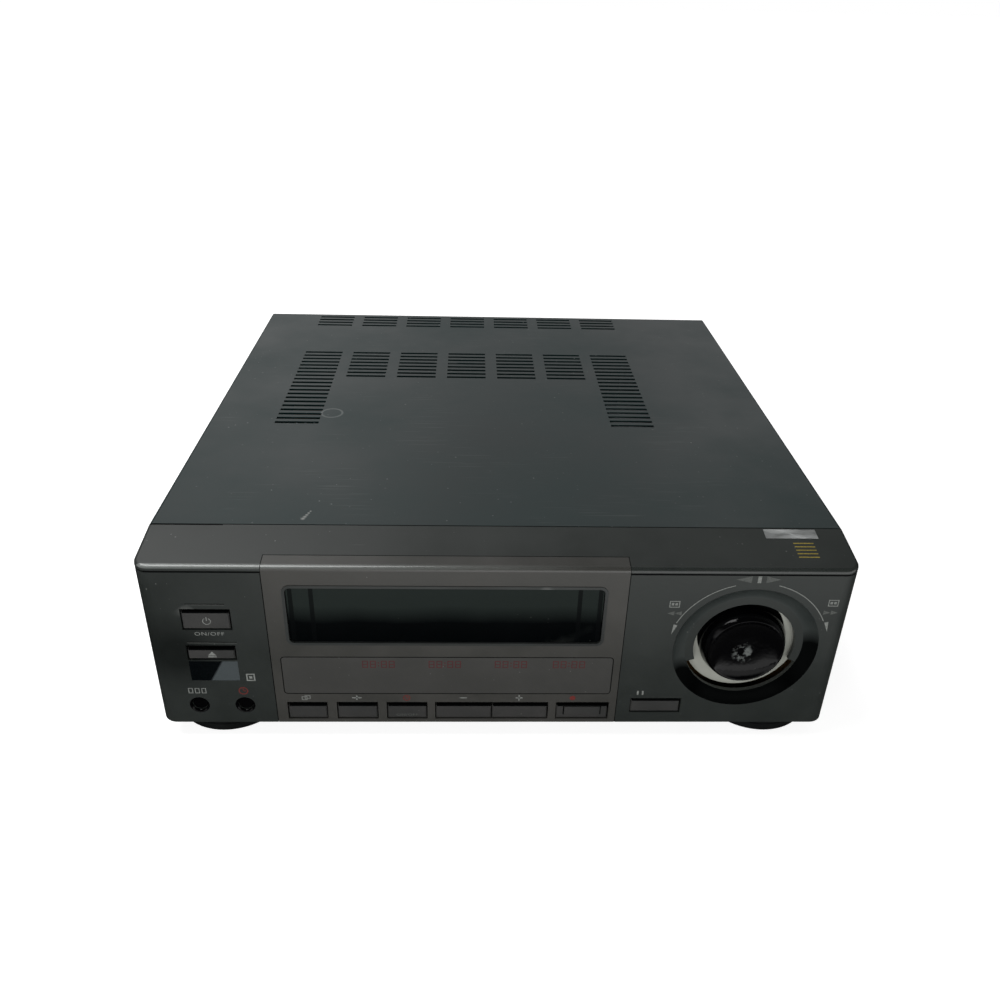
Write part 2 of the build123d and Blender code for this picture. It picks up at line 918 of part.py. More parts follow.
def loading_motor():
    y0, y1 = gear_y - motor_half, gear_y + motor_half
    body = block(motor_x0, motor_x0 + motor_length, y0, y1, loader_top - motor_seat, gear_z + motor_half)
    body = chamfer(body.edges().filter_by(Axis.X), motor_edge)
    end = motor_x0 + motor_grip + gap
    return body - rod_x(gear_shaft_radius + slip, motor_x0 - past, end, gear_y, gear_z)


# A plate bent down at both sides, with upright slots for the holder and a rack along one edge.
def holder_slider():
    x0 = loader_x - slider_half - holder_sheet
    x1 = loader_x + slider_half + holder_sheet
    y0 = holder_y + slider_margin
    y1 = holder_y + holder_depth - slider_margin
    z0 = holder_floor - slider_foot
    slider = block(x0, x1, y0, y1, z0, slider_top + holder_sheet)
    slider -= block(x0 + holder_sheet, x1 - holder_sheet, y0 - past, y1 + past, z0 - past, slider_top)
    half = holder_half - roof_side
    roof = (slider_top - past, slider_top + 2 * past)
    slider -= block(loader_x - half, loader_x + half, y0 + roof_end, y1 - roof_end, *roof)
    half = lug / 2 + slip
    low = holder_lug_z - holder_drop - half
    for y in holder_lug_rows():
        slider -= block(x0 - past, x1 + past, y - half, y + half, low, holder_lug_z + half)
    for side in (-1, 1):
        for y in slider_lug_rows():
            slider += side_lug(side, slider_half + holder_sheet / 2, loader_half + sheet + gap, y, slot_z)
    return slider + rack()


def rack():
    pitch = math.pi * gear_module
    count = math.ceil(holder_travel / pitch) + spare_teeth
    spread = math.tan(math.radians(pressure_angle))
    tip = rack_pitch_z + tooth_height * gear_module
    root = rack_pitch_z - tooth_root * gear_module
    half = pitch / 4 - backlash / 2
    tip_half = half - spread * tooth_height * gear_module
    root_half = half + spread * tooth_root * gear_module
    base = slider_top + holder_sheet / 2
    # A gap between teeth lies straight under the gear's axis at rest.
    last = gear_y + pitch / 2 + pitch
    points = []
    for tooth in range(count):
        y = last - (count - 1 - tooth) * pitch
        points += [(y - root_half, root), (y - tip_half, tip), (y + tip_half, tip), (y + root_half, root)]
    points = [(points[0][0], base)] + points + [(points[-1][0], base)]
    outline = make_face(Polyline(*points, close=True))
    return extrude(side_plane(gear_x0) * outline, amount=gear_width)


def loader_frame():
    y0 = loader_margin
    y1 = loader_rear
    x0 = loader_x - loader_half - sheet
    x1 = loader_x + loader_half + sheet
    frame = block(x0, x1, y1 - brace_width, y1, loader_top - sheet, loader_top)
    for side in (-1, 1):
        inner = loader_x + side * loader_half
        outer = inner + side * sheet
        foot = outer + side * loader_foot
        frame += block(min(inner, outer), max(inner, outer), y0, y1, deck_top, loader_top)
        frame += block(min(inner, foot), max(inner, foot), y0, y1, deck_top, deck_top + sheet)
    z0, z1 = deck_top + loader_sill, slot_z - loader_head
    frame -= block(x0 - past, x1 + past, y0 + loader_web, y1 - brace_width, z0, z1)
    half = lug / 2 + slip
    first, last = slider_lug_rows()
    y0, y1 = first - half, last + holder_travel + half
    return frame - block(x0 - past, x1 + past, y0, y1, slot_z - half, slot_z + half)


# A leg folded down from the deck at one corner, with a foot turned under the plate.
def deck_corner(x, y, side):
    leg = block(x, x + deck_wall, y, y + deck_leg, sheet, deck_z)
    end = x - side * deck_wall
    return leg + block(min(x, end), max(x, end) + deck_wall, y, y + deck_leg, sheet, sheet + deck_wall)


def deck_plate():
    x0 = loader_x - deck_side
    x1 = loader_x + deck_side
    deck = block(x0, x1, deck_front, deck_rear, deck_z, deck_top)
    for side, x in ((-1, x0), (1, x1 - deck_wall)):
        deck += block(x, x + deck_wall, deck_front, deck_rear, deck_z - deck_flange, deck_z)
        deck += deck_corner(x, deck_front, side)
        deck += deck_corner(x, deck_rear - deck_leg, side)
        reel_x = loader_x + side * reel_spacing / 2
        deck += rod_z(reel_pin_radius, reel_x, reel_y, deck_z, reel_hub_top - 2 * deck_wall)
    deck -= rod_z(capstan_radius + slip, capstan_x, capstan_y, deck_z - past, deck_top + past)
    deck += rod_z(arm_pin_radius, *arm_pivot(), deck_z, roller_z - gap)
    y0, y1 = deck_front + opening_front, reel_y - opening_back
    half = opening_half
    return deck - block(loader_x - half, loader_x + half, y0, y1, deck_z - past, deck_top + past)


# The rim is faceted like the drive teeth it stands for, and the hub has three wings.
def reel(side):
    x = loader_x + side * reel_spacing / 2
    base = deck_top + gap
    rim = Pos(x, reel_y, base) * extrude(RegularPolygon(reel_radius, reel_sides), amount=reel_wall)
    wing = Rectangle(2 * reel_hub_radius, reel_fin, align=(Align.MIN, Align.CENTER))
    outline = RegularPolygon(reel_hub_radius, 6) + [Rot(0, 0, 120 * turn) * wing for turn in range(3)]
    wheel = rim + Pos(x, reel_y, base) * extrude(outline, amount=reel_hub_top - base)
    return wheel - rod_z(reel_pin_radius + slip, x, reel_y, base - past, reel_hub_top + past)


# The drum leans back about the centre of its foot.
def leaned(shape):
    return Pos(drum_x, drum_y, deck_top) * Rot(-drum_tilt, 0, 0) * shape


def lower_drum():
    top = drum_seat + lower_drum_height
    outline = RegularPolygon(drum_radius, drum_sides)
    drum = leaned(Pos(0, 0, -2 * drum_seat) * extrude(outline, amount=top + 2 * drum_seat))
    bore = Cylinder(drum_shaft_radius + slip, drum_grip + gap)
    drum -= leaned(Pos(0, 0, top - drum_grip / 2) * bore)
    reach = 2 * drum_radius
    # The foot is cut level with the deck.
    return drum - block(drum_x - reach, drum_x + reach, drum_y - reach, drum_y + reach, 0, deck_top)


def upper_drum():
    seat = drum_seat + lower_drum_height + gap
    drum = Pos(0, 0, seat) * extrude(RegularPolygon(drum_radius, drum_sides), amount=upper_drum_height)
    drum += Pos(0, 0, seat - drum_grip / 2 + past) * Cylinder(drum_shaft_radius, drum_grip)
    half = head_width / 2
    head = block(drum_radius - head_depth, drum_radius + past, -half, half, seat - past, seat + head_rise)
    for turn in range(2):
        drum -= Rot(0, 0, 180 * turn + head_turn) * head
    return leaned(drum)


def capstan():
    return rod_z(capstan_radius, capstan_x, capstan_y, deck_z - motor_drop + gap, capstan_top)


def capstan_motor():
    half = capstan_motor_side / 2
    top = deck_z - motor_drop
    x, y = capstan_x, capstan_y
    motor = block(x - half, x + half, y - half, y + half, top - motor_height, top)
    return motor + block(x - half, x - half + motor_ear, y - half, y + half, top, deck_z)


# With the arm swung in, the roller presses on the capstan from behind its right side.
def pressed_centre():
    reach = roller_radius + capstan_radius + gap
    angle = math.radians(press_angle)
    return capstan_x + reach * math.cos(angle), capstan_y + reach * math.sin(angle)


def arm_pivot():
    x, y = pressed_centre()
    angle = math.radians(pivot_angle)
    return x + arm_length * math.cos(angle), y + arm_length * math.sin(angle)


def roller_centre():
    px, py = arm_pivot()
    x, y = pressed_centre()
    sine = math.sin(math.radians(arm_swing))
    cosine = math.cos(math.radians(arm_swing))
    dx, dy = x - px, y - py
    return px + dx * cosine - dy * sine, py + dx * sine + dy * cosine


def pinch_arm():
    px, py = arm_pivot()
    x, y = roller_centre()
    z0 = roller_z - arm_wall - gap
    angle = math.degrees(math.atan2(y - py, x - px))
    bar = Pos(arm_length / 2, 0) * Rectangle(arm_length + 2 * arm_end, 2 * arm_end)
    bar = chamfer(bar.vertices(), arm_end / 2)
    foot = Pos(0, 0, deck_top + gap - z0) * extrude(RegularPolygon(arm_end, arm_sides), amount=z0 - deck_top)
    arm = Pos(px, py, z0) * Rot(0, 0, angle) * (extrude(bar, amount=arm_wall) + foot)
    arm += rod_z(pin_radius, x, y, z0, roller_z + roller_height - past)
    return arm - rod_z(arm_pin_radius + slip, px, py, deck_top, roller_z)


def pinch_roller():
    x, y = roller_centre()
    roller = rod_z(roller_radius, x, y, roller_z, roller_z + roller_height)
    return roller - rod_z(pin_radius + slip, x, y, roller_z - past, roller_z + roller_height + past)


def guide_posts():
    outline = RegularPolygon(guide_radius, guide_sides)
    y = drum_y - guide_ahead
    xs = (drum_x - guide_left, drum_x + guide_right)
    return Compound(children=[Pos(x, y, deck_top) * extrude(outline, amount=guide_height) for x in xs])


# The slots in the cover's top, in groups.
def vent_cuts():
    cuts = []
    tall_end = tall_slots - short_slots
    for group in range(vent_groups):
        x0 = left_edge + vent_offset + group * vent_pitch
        first = 0 if group in (0, vent_groups - 1) else tall_end
        starts = [tall_start + slot_pitch * i for i in range(first, tall_slots)]
        starts += [rear_start + slot_pitch * i for i in range(rear_slots)]
        x1 = x0 + vent_width
        top = (body_height - 2 * sheet, body_height + past)
        cuts += [block(x0, x1, y, y + slot_width, *top) for y in starts]
    return cuts


def cover_outline(inset):
    half = body_width / 2 - inset
    top = body_height - inset
    shape = Pos(0, top / 2) * Rectangle(2 * half, top)
    return fillet(shape.vertices().group_by(Axis.Y)[-1], edge_radius - inset / 2)


def top_cover():
    shell = cover_outline(0) - cover_outline(sheet)
    return push_back(shell, bezel_depth + gap, body_depth) - vent_cuts()


def bottom_chassis():
    inner = body_width / 2 - wall - gap
    outer = body_width / 2 - sheet - gap
    front = bottom_lip + gap
    step = bezel_depth + tongue_reach + gap
    floor = block(-inner, inner, front, step + step_lap, 0, sheet)
    floor += block(-outer, outer, step, rear_inner, 0, sheet)
    floor += block(-inner, inner, front, front + sheet, 0, lip_height)
    floor += block(-outer, sheet - outer, step, rear_inner, 0, flange_rise)
    floor += block(outer - sheet, outer, step, rear_inner, 0, flange_rise)
    x0 = left_edge + floor_slot_x
    for i in range(floor_slots):
        y = floor_slot_start + i * 2 * slot_pitch
        floor -= block(x0, x0 + floor_slot_length, y, y + slot_width, -past, sheet + past)
    # Tabs folded up from the floor carry the boards.
    for x, y in tab_places():
        floor += block(x - post, x + post, y - sheet / 2, y + sheet / 2, 0, main_z)
    return floor


def tab_places():
    places = board_tabs(main_x0, main_x1, main_front)
    x0 = left_edge + main_clear
    return places + board_tabs(x0, x0 + power_board_width, main_rear - power_board_depth)


def board_tabs(x0, x1, front):
    xs = (x0 + tab_inset, x1 - tab_inset)
    return [(x, y) for x in xs for y in (front + tab_inset, main_rear - tab_inset)]


# A cutter through the rear panel round a face that fills it.
def rear_cut(x0, x1, z0, z1):
    return block(x0 - slip, x1 + slip, rear_inner - past, rear_face + past, z0 - slip, z1 + slip)


def rear_panel():
    half = body_width / 2 - sheet - gap
    top = body_height - sheet - gap
    panel = block(-half, half, rear_inner, rear_face, sheet, top)
    panel = chamfer(panel.edges().filter_by(Axis.Y).group_by(Axis.Z)[-1], rear_edge)
    half -= rear_foot_inset
    panel += block(-half, half, rear_inner - rear_foot, rear_inner, sheet, 2 * sheet)
    panel -= rear_cut(*jack_face())
    panel -= rear_cut(*antenna_face())
    return panel - rear_cut(*inlet_face())


def inlet_face():
    x = left_edge + inlet_offset
    w, h = inlet_width / 2, inlet_height / 2
    return x - w, x + w, inlet_z - h, inlet_z + h


# The part of the jack block that shows through the rear panel.
def jack_face():
    middle = right_edge - jack_offset
    half = jack_pitch
    return middle - half, middle + half, jack_z - jack_pitch / 2, jack_z + 1.5 * jack_pitch


def jack_places():
    middle = right_edge - jack_offset
    xs = (middle - jack_pitch / 2, middle + jack_pitch / 2)
    return [(x, jack_z + row * jack_pitch) for x in xs for row in range(2)]


def antenna_places():
    x = right_edge - antenna_offset
    return (x - antenna_pitch / 2, x + antenna_pitch / 2)


# The raised plate round the aerial connectors, which fills its hole in the rear panel.
def antenna_face():
    x0, x1 = antenna_places()
    reach = antenna_radius + antenna_plate
    return x0 - reach, x1 + reach, antenna_z - reach, antenna_z + reach


def jack_block():
    x0, x1, z0, z1 = jack_face()
    y0 = rear_inner - jack_block_depth
    base = main_z + board_wall
    edge = jack_wall
    body = block(x0 - edge, x1 + edge, y0, rear_inner, base, z1 + edge)
    body += block(x0, x1, rear_inner, rear_face, z0, z1)
    body -= block(x0 + edge, x1 - edge, y0 - past, y0 + jack_hollow, main_z + jack_hollow, z1 - edge)
    for x, z in jack_places():
        body += rod_y(jack_radius, x, rear_inner, rear_face + jack_length, z)
    return body


# A sheet can with a sunk lid, and the two aerial connectors on its rear.
def tuner_module():
    x = right_edge - antenna_offset
    y0 = rear_inner - tuner_depth
    z0 = main_z + board_wall
    z1 = z0 + tuner_height
    half = tuner_width / 2
    can = block(x - half, x + half, y0, rear_inner, z0, z1)
    half -= lid_rim
    can -= block(x - half, x + half, y0 + lid_rim, rear_inner - lid_rim, z1 - lid_sink, z1 + past)
    x0, x1, low, high = antenna_face()
    can += block(x0, x1, rear_inner - past, rear_face, low, high)
    for place in antenna_places():
        can += rod_y(antenna_radius, place, rear_face - past, rear_face + connector_length, antenna_z)
    return can


def mains_inlet():
    x0, x1, z0, z1 = inlet_face()
    body = block(x0, x1, rear_face - inlet_depth, rear_face, z0, z1)
    front = rear_inner - inlet_flange_wall
    wide, high = inlet_flange_x, inlet_flange_z
    body += block(x0 - wide, x1 + wide, front, rear_inner, z0 - high, z1 + high)
    x = left_edge + inlet_offset
    w, h = inlet_hole_width / 2, inlet_hole_height / 2
    bottom = rear_face - inlet_hole_depth
    body -= block(x - w, x + w, bottom, rear_face + past, inlet_z - h, inlet_z + h)
    for side in (-1, 1):
        pin = x + side * inlet_pin_pitch / 2
        body += rod_y(inlet_pin_radius, pin, bottom - past, rear_face - inlet_pin_drop, inlet_z)
    return body


def main_board():
    top = main_z + board_wall
    board = block(main_x0, main_x1, main_front, main_rear, main_z, top)
    x0 = right_edge - jack_offset - jack_pitch - jack_board_side
    return board + block(x0, main_x1, main_rear - past, rear_inner - gap, main_z, top)


def power_board():
    x0 = left_edge + main_clear
    front = main_rear - power_board_depth
    return block(x0, x0 + power_board_width, front, main_rear, main_z, main_z + board_wall)


def board_chips():
    z = main_z + board_wall
    bodies = []
    for across, back, width, depth, height in chips:
        body = Box(width, depth, height, align=(Align.CENTER, Align.CENTER, Align.MIN))
        bodies.append(Pos(main_x0 + across, main_front + back, z) * body)
    return Compound(children=bodies)


def power_capacitor():
    x = left_edge + main_clear + capacitor_x
    y = main_rear - power_board_depth + capacitor_y
    outline = RegularPolygon(capacitor_radius, capacitor_sides)
    return Pos(x, y, main_z + board_wall) * extrude(outline, amount=capacitor_height)


def shield_can():
    x1 = main_x1 - shield_offset
    x0 = x1 - shield_width
    y0 = shield_y
    y1 = shield_y + shield_depth
    z0 = main_z + board_wall
    can = block(x0, x1, y0, y1, z0, shield_top)
    return can - block(x0 + sheet, x1 - sheet, y0 + sheet, y1 - sheet, z0 - 1, shield_top - sheet)


def core_centre():
    return left_edge + main_clear + core_width / 2 + core_inset, main_rear - core_depth


def transformer_core():
    x, y = core_centre()
    z0 = main_z + board_wall
    z1 = z0 + core_height
    half = core_width / 2
    core = block(x - half, x + half, y - core_depth / 2, y + core_depth / 2, z0, z1)
    y0, y1 = y - core_depth, y + core_depth
    half = core_window / 2
    for side in (-1, 1):
        middle = x + side * (limb / 2 + half)
        core -= block(middle - half, middle + half, y0, y1, z0 + limb / 2, z1 - limb / 2)
    return core


def transformer_winding():
    x, y = core_centre()
    z0 = main_z + board_wall + limb / 2 + gap
    z1 = main_z + board_wall + core_height - limb / 2 - gap
    hx, hy = limb / 2 + gap, core_depth / 2 + gap
    wide = hx + winding_wall
    deep = hy + winding_wall
    coil = block(x - wide, x + wide, y - deep, y + deep, z0, z1)
    coil = chamfer(coil.edges().filter_by(Axis.Z), winding_edge)
    return coil - block(x - hx, x + hx, y - hy, y + hy, z0 - past, z1 + past)


def heat_sink():
    x0 = left_edge + main_clear + sink_inset
    y0 = main_rear - power_board_depth + sheet
    z0 = main_z + board_wall
    z1 = z0 + sink_height
    sink = block(x0, x0 + sink_width, y0, y0 + sink_web, z0, z1)
    pitch = (sink_width - sink_fin) / (sink_fins - 1)
    for i in range(sink_fins):
        x = x0 + i * pitch
        sink += block(x, x + sink_fin, y0, y0 + sink_depth, z0, z1)
    return sink


def foot_places():
    xs = (left_edge + foot_inset_x, right_edge - foot_inset_x)
    return [(x, y) for x in xs for y in (foot_inset_y, body_depth - foot_inset_y)]


def feet():
    foot = extrude(RegularPolygon(foot_radius, foot_sides), amount=foot_height)
    return Compound(children=[Pos(x, y, -foot_height) * foot for x, y in foot_places()])


pieces = {
    "top_cover": top_cover,
    "bottom_chassis": bottom_chassis,
    "rear_panel": rear_panel,
    "feet": feet,
    "front_bezel": front_bezel,
    "centre_panel": centre_panel,
    "window_frame": window_frame,
    "cassette_door": cassette_door,
    "display_window": display_window,
    "display_tube": display_tube,
    "sensor_window": sensor_window,
    "power_button": lambda: column_button(power_z, power_height, power_drop),
    "eject_button": lambda: column_button(eject_z, eject_height, eject_drop),
    "counter_reset_button": lambda: small_button(counter_offset),
    "quick_timer_button": lambda: small_button(timer_offset),
    "synchro_edit_button": lambda: row_button(0),
    "edit_button": lambda: row_button(1),
    "timer_record_button": lambda: row_button(2),
    "channel_down_button": lambda: channel_button(-1),
    "channel_up_button": lambda: channel_button(1),
    "record_button": record_button,
    "pause_button": pause_button,
    "shuttle_knob": shuttle_knob,
    "shuttle_ring": shuttle_ring,
    "shuttle_encoder": shuttle_encoder,
    "front_board": front_board,
    "front_switches": front_switches,
    "cassette_chute": cassette_chute,
    "cassette_holder": cassette_holder,
    "holder_slider": holder_slider,
    "loader_frame": loader_frame,
    "loading_gear": loading_gear,
    "loading_motor": loading_motor,
    "deck_plate": deck_plate,
    "supply_reel": lambda: reel(-1),
    "takeup_reel": lambda: reel(1),
    "lower_drum": lower_drum,
    "upper_drum": upper_drum,
    "capstan": capstan,
    "capstan_motor": capstan_motor,
    "pinch_arm": pinch_arm,
    "pinch_roller": pinch_roller,
    "guide_posts": guide_posts,
    "main_board": main_board,
    "board_chips": board_chips,
    "power_capacitor": power_capacitor,
    "shield_can": shield_can,
    "tuner_module": tuner_module,
    "jack_block": jack_block,
    "mains_inlet": mains_inlet,
    "power_board": power_board,
    "transformer_core": transformer_core,
    "transformer_winding": transformer_winding,
    "heat_sink": heat_sink,
}

os.makedirs("parts", exist_ok=True)
for name, make in pieces.items():
    export_step(to_origin * make(), f"parts/{name}.step")
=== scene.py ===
import json
import math

import bmesh
import bpy
from mathutils import Matrix, Vector


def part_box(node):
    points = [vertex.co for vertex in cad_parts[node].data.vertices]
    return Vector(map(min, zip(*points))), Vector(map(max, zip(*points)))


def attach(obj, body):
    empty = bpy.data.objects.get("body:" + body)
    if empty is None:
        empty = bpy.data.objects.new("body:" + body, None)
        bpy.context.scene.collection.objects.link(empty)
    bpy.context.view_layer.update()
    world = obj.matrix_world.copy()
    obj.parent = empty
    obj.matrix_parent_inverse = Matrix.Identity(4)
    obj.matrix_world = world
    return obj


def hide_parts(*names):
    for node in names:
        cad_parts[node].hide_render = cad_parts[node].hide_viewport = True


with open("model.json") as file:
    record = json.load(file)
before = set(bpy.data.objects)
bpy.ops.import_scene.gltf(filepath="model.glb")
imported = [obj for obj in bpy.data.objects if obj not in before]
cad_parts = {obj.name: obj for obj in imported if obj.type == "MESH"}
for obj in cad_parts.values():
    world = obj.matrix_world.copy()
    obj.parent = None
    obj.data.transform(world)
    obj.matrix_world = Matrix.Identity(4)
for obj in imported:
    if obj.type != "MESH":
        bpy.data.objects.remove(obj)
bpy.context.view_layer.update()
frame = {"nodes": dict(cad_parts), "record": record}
nodes = frame["nodes"]
scene = bpy.context.scene
scene.view_settings.view_transform = "Standard"
print("stage: frame loaded,", len(nodes), "nodes")

# Sizes are in millimetres from the middle of the front's underside; place() turns them to the frame's metres.
case = {
    "backShift": 183.65, "footRise": 9.6, "height": 103.4, "frontTop": 98.8, "jointY": 32.2,
    "rearFace": 358.3,
}


def place(x, y, z):
    return Vector((x, y - case["backShift"], z + case["footRise"])) / 1000


def slopePoint(x, y, lift):  # a point this far above the sloped top of the front moulding
    rise = (case["height"] - case["frontTop"]) / case["jointY"]
    return place(x, y - lift * rise, case["frontTop"] + rise * y + lift)


# The camera stands where the photograph was taken from, a little left of the middle and looking down.
cameraSet = {
    "spot": (-0.016441, -0.549073, 0.356689), "lens": 32.88, "sensor": 36.0, "nearest": 0.01,
    "turn": (  # the rows of its turn matrix
        (0.9993563, -0.008459, -0.0348635),
        (-0.0260168, 0.4982333, -0.8666526),
        (0.0247011, 0.8670018, 0.4976925),
    ),
}
cameraData = bpy.data.cameras.new("productCamera")
cameraData.lens = cameraSet["lens"]
cameraData.sensor_width = cameraSet["sensor"]
cameraData.clip_start = cameraSet["nearest"]
camera = bpy.data.objects.new("productCamera", cameraData)
camera.matrix_world = Matrix.Translation(cameraSet["spot"]) @ Matrix(cameraSet["turn"]).to_4x4()
scene.collection.objects.link(camera)
scene.camera = camera


def linear(hexColour):
    parts = [int(hexColour[i:i + 2], 16) / 255 for i in (1, 3, 5)]
    return [p / 12.92 if p <= 0.04045 else ((p + 0.055) / 1.055) ** 2.4 for p in parts] + [1.0]


def perMetre(sizeMm):  # texture scale whose feature is this many millimetres
    return 1000.0 / sizeMm


def liveOutput(node):  # the first output that is in use
    return next(output for output in node.outputs if output.enabled)


# Adds a node. A hex value is a colour, a node or an output is linked, and any other value is set.
def addNode(tree, kind, values=None):
    node = tree.nodes.new("ShaderNode" + kind)
    for key, value in (values or {}).items():
        if isinstance(value, bpy.types.Node):
            value = liveOutput(value)
        if isinstance(value, bpy.types.NodeSocket):
            tree.links.new(value, node.inputs[key])
        elif isinstance(key, int) or key in node.inputs:
            node.inputs[key].default_value = linear(value) if str(value).startswith("#") else value
        else:
            setattr(node, key, value)
    return node


def span(value, low, high, start=0.0, end=1.0):  # the values of a range node: start at low, end at high
    return {"Value": value, "From Min": low, "From Max": high, "To Min": start, "To Max": end}


smooth = {"interpolation_type": "SMOOTHSTEP"}
white = "#ffffff"

# The studio: dark overhead, pale walls behind and to the sides, and a paler band low in front.
# Spans are of the parts of the direction looked in, which run from -1 to 1.
room = {
    "zenith": 0.03, "back": 0.40, "backWay": (0.0, 0.93, 0.37), "behind": (0.82, 0.98), "middle": 0.08,
    "flank": (0.08, 0.27, 0.0, 0.62), "raised": (0.30, 0.42, 0.25), "frontBand": (0.2, 0.55, 0.7, 0.0),
    "ahead": (-0.3, 0.1, 1.0, 0.0),
}
world = bpy.data.worlds.new("studioWorld")
scene.world = world
world.use_nodes = True
tree = world.node_tree
tree.nodes.clear()
way = addNode(tree, "TexCoord").outputs["Generated"]
parts = addNode(tree, "SeparateXYZ", {0: way}).outputs
toBack = addNode(tree, "VectorMath", {"operation": "DOT_PRODUCT", 0: way, 1: room["backWay"]})
behind = addNode(tree, "MapRange", {**smooth, **span(toBack, *room["behind"])})
shifted = addNode(tree, "Math", {"operation": "SUBTRACT", 0: parts["X"], 1: room["middle"]})
sideways = addNode(tree, "Math", {"operation": "ABSOLUTE", 0: shifted})
flank = addNode(tree, "MapRange", {**smooth, **span(sideways, *room["flank"])})
raised = addNode(tree, "MapRange", span(parts["Z"], *room["raised"]))
wall = addNode(tree, "Math", {"operation": "MULTIPLY_ADD", 0: flank, 1: raised, 2: room["back"]})
rearGlow = addNode(tree, "Math", {"operation": "MULTIPLY_ADD", 0: wall, 1: behind, 2: room["zenith"]})
low = addNode(tree, "MapRange", {**smooth, **span(parts["Z"], *room["frontBand"])})
ahead = addNode(tree, "MapRange", {**smooth, **span(parts["Y"], *room["ahead"])})
glow = addNode(tree, "Math", {"operation": "MULTIPLY_ADD", 0: low, 1: ahead, 2: rearGlow})
ray = addNode(tree, "LightPath").outputs
seen = addNode(tree, "Math", {"operation": "MAXIMUM", 0: glow, 1: ray["Is Camera Ray"]})
sky = addNode(tree, "Background", {"Color": white, "Strength": seen})
addNode(tree, "OutputWorld", {"Surface": sky})

lamps = {  # place, aim and size in metres, power in watts, and whether gloss shows the lamp
    "overheadSoftbox": ((-0.55, 0.08, 1.15), (-0.25, 0.0, 0.1), (0.9, 0.8), 8.5, True),
    "frontFill": ((-0.3, -1.7, 0.5), (0.0, 0.0, 0.05), (2.0, 0.7), 13.5, False),
    "rearFill": ((0.4, 2.3, 0.4), (0.0, 0.1, 0.05), (2.6, 0.8), 14.0, False),
}
for name, (spot, aim, size, power, mirrored) in lamps.items():
    data = bpy.data.lights.new(name, "AREA")
    data.shape = "RECTANGLE"
    data.size, data.size_y = size
    data.energy = power
    lamp = bpy.data.objects.new(name, data)
    lamp.location = spot
    lamp.rotation_euler = (Vector(aim) - Vector(spot)).to_track_quat("-Z", "Y").to_euler()
    lamp.visible_glossy = mirrored
    scene.collection.objects.link(lamp)

# Matt paper: the camera sees it white, with a soft shadow. Gloss sees it dim close to the front and at the
# left, and pale further out.
paper = {
    "reach": 14, "colour": "#e6e6e6", "glow": (0.45, 1.2, 0.80), "leftTone": (-0.24, -0.09, 0.10),
    "nearTone": (-0.36, -0.25, 1.1, 0.04),
}
floorMesh = bpy.data.meshes.new("studioFloor")
reach = paper["reach"]
corners = [(-reach, -reach, 0), (reach, -reach, 0), (reach, reach, 0), (-reach, reach, 0)]
floorMesh.from_pydata(corners, [], [(0, 1, 2, 3)])
floor = bpy.data.objects.new("studioFloor", floorMesh)
scene.collection.objects.link(floor)
floorPaper = bpy.data.materials.new("mattePaperFloor")
floorPaper.use_nodes = True
tree = floorPaper.node_tree
tree.nodes.clear()
matte = addNode(tree, "BsdfDiffuse", {"Color": paper["colour"]})
ray = addNode(tree, "LightPath").outputs
cameraRay, clearRay = ray["Is Camera Ray"], ray["Is Transmission Ray"]
direct = addNode(tree, "Math", {"operation": "MAXIMUM", 0: cameraRay, 1: clearRay})
spot = addNode(tree, "TexCoord").outputs["Object"]
away = addNode(tree, "VectorMath", {"operation": "LENGTH", 0: spot})
spread = addNode(tree, "MapRange", span(away, *paper["glow"]))
amount = addNode(tree, "Math", {"operation": "MULTIPLY", 0: direct, 1: spread})
shining = addNode(tree, "Emission", {"Color": white, "Strength": amount})
lit = addNode(tree, "AddShader", {0: matte, 1: shining})
parts = addNode(tree, "SeparateXYZ", {0: spot}).outputs
leftTone = addNode(tree, "MapRange", {**smooth, **span(parts["X"], *paper["leftTone"])})
nearTone = addNode(tree, "MapRange", {**smooth, **span(parts["Y"], *paper["nearTone"])})
shine = addNode(tree, "Math", {"operation": "MULTIPLY", 0: leftTone, 1: nearTone})
mirrored = addNode(tree, "Emission", {"Color": white, "Strength": shine})
surface = addNode(tree, "MixShader", {0: ray["Is Glossy Ray"], 1: lit, 2: mirrored})
addNode(tree, "OutputMaterial", {"Surface": surface})
floorMesh.materials.append(floorPaper)
print("stage: camera, floor and light")

socketOf = {
    "base": "Base Color", "rough": "Roughness", "metallic": "Metallic", "level": "Specular IOR Level",
    "ior": "IOR", "anisotropy": "Anisotropic", "clear": "Transmission Weight",
}


# Every finish starts from the constants in its own settings, set on the shader's sockets.
def startMaterial(name, look):
    material = bpy.data.materials.new(name)
    material.use_nodes = True
    tree = material.node_tree
    tree.nodes.clear()
    values = {socket: look[key] for key, socket in socketOf.items() if key in look}
    shader = addNode(tree, "BsdfPrincipled", values)
    addNode(tree, "OutputMaterial", {"Surface": shader})
    return material, tree, shader, addNode(tree, "TexCoord").outputs["Object"]


def feed(tree, shader, sources):  # links what changes over the surface to the shader's sockets by name
    for socket, source in sources.items():
        tree.links.new(liveOutput(source), shader.inputs[socket])


# Each coat lies over what is there, as far as its mask says. The node's colours are its inputs 6 and 7.
def layCoats(tree, tone, coats):
    for mask, colour in coats:
        tone = addNode(tree, "Mix", {"data_type": "RGBA", 0: mask, 6: tone, 7: colour})
    return tone


def roughSpan(mask, look, less, more):  # roughness a little under and over its usual value
    return span(mask, 0.0, 1.0, look["rough"] - less, look["rough"] + more)


# Slow cloudy change from place to place, as a mask from 0 to 1
def cloudMask(tree, spot, sizeMm, low=0.35, high=0.7):
    pattern = {"Scale": perMetre(sizeMm), "Detail": 4.0, "Roughness": 0.6}
    cloud = addNode(tree, "TexNoise", {**pattern, "Vector": spot})
    return addNode(tree, "MapRange", span(cloud, low, high))


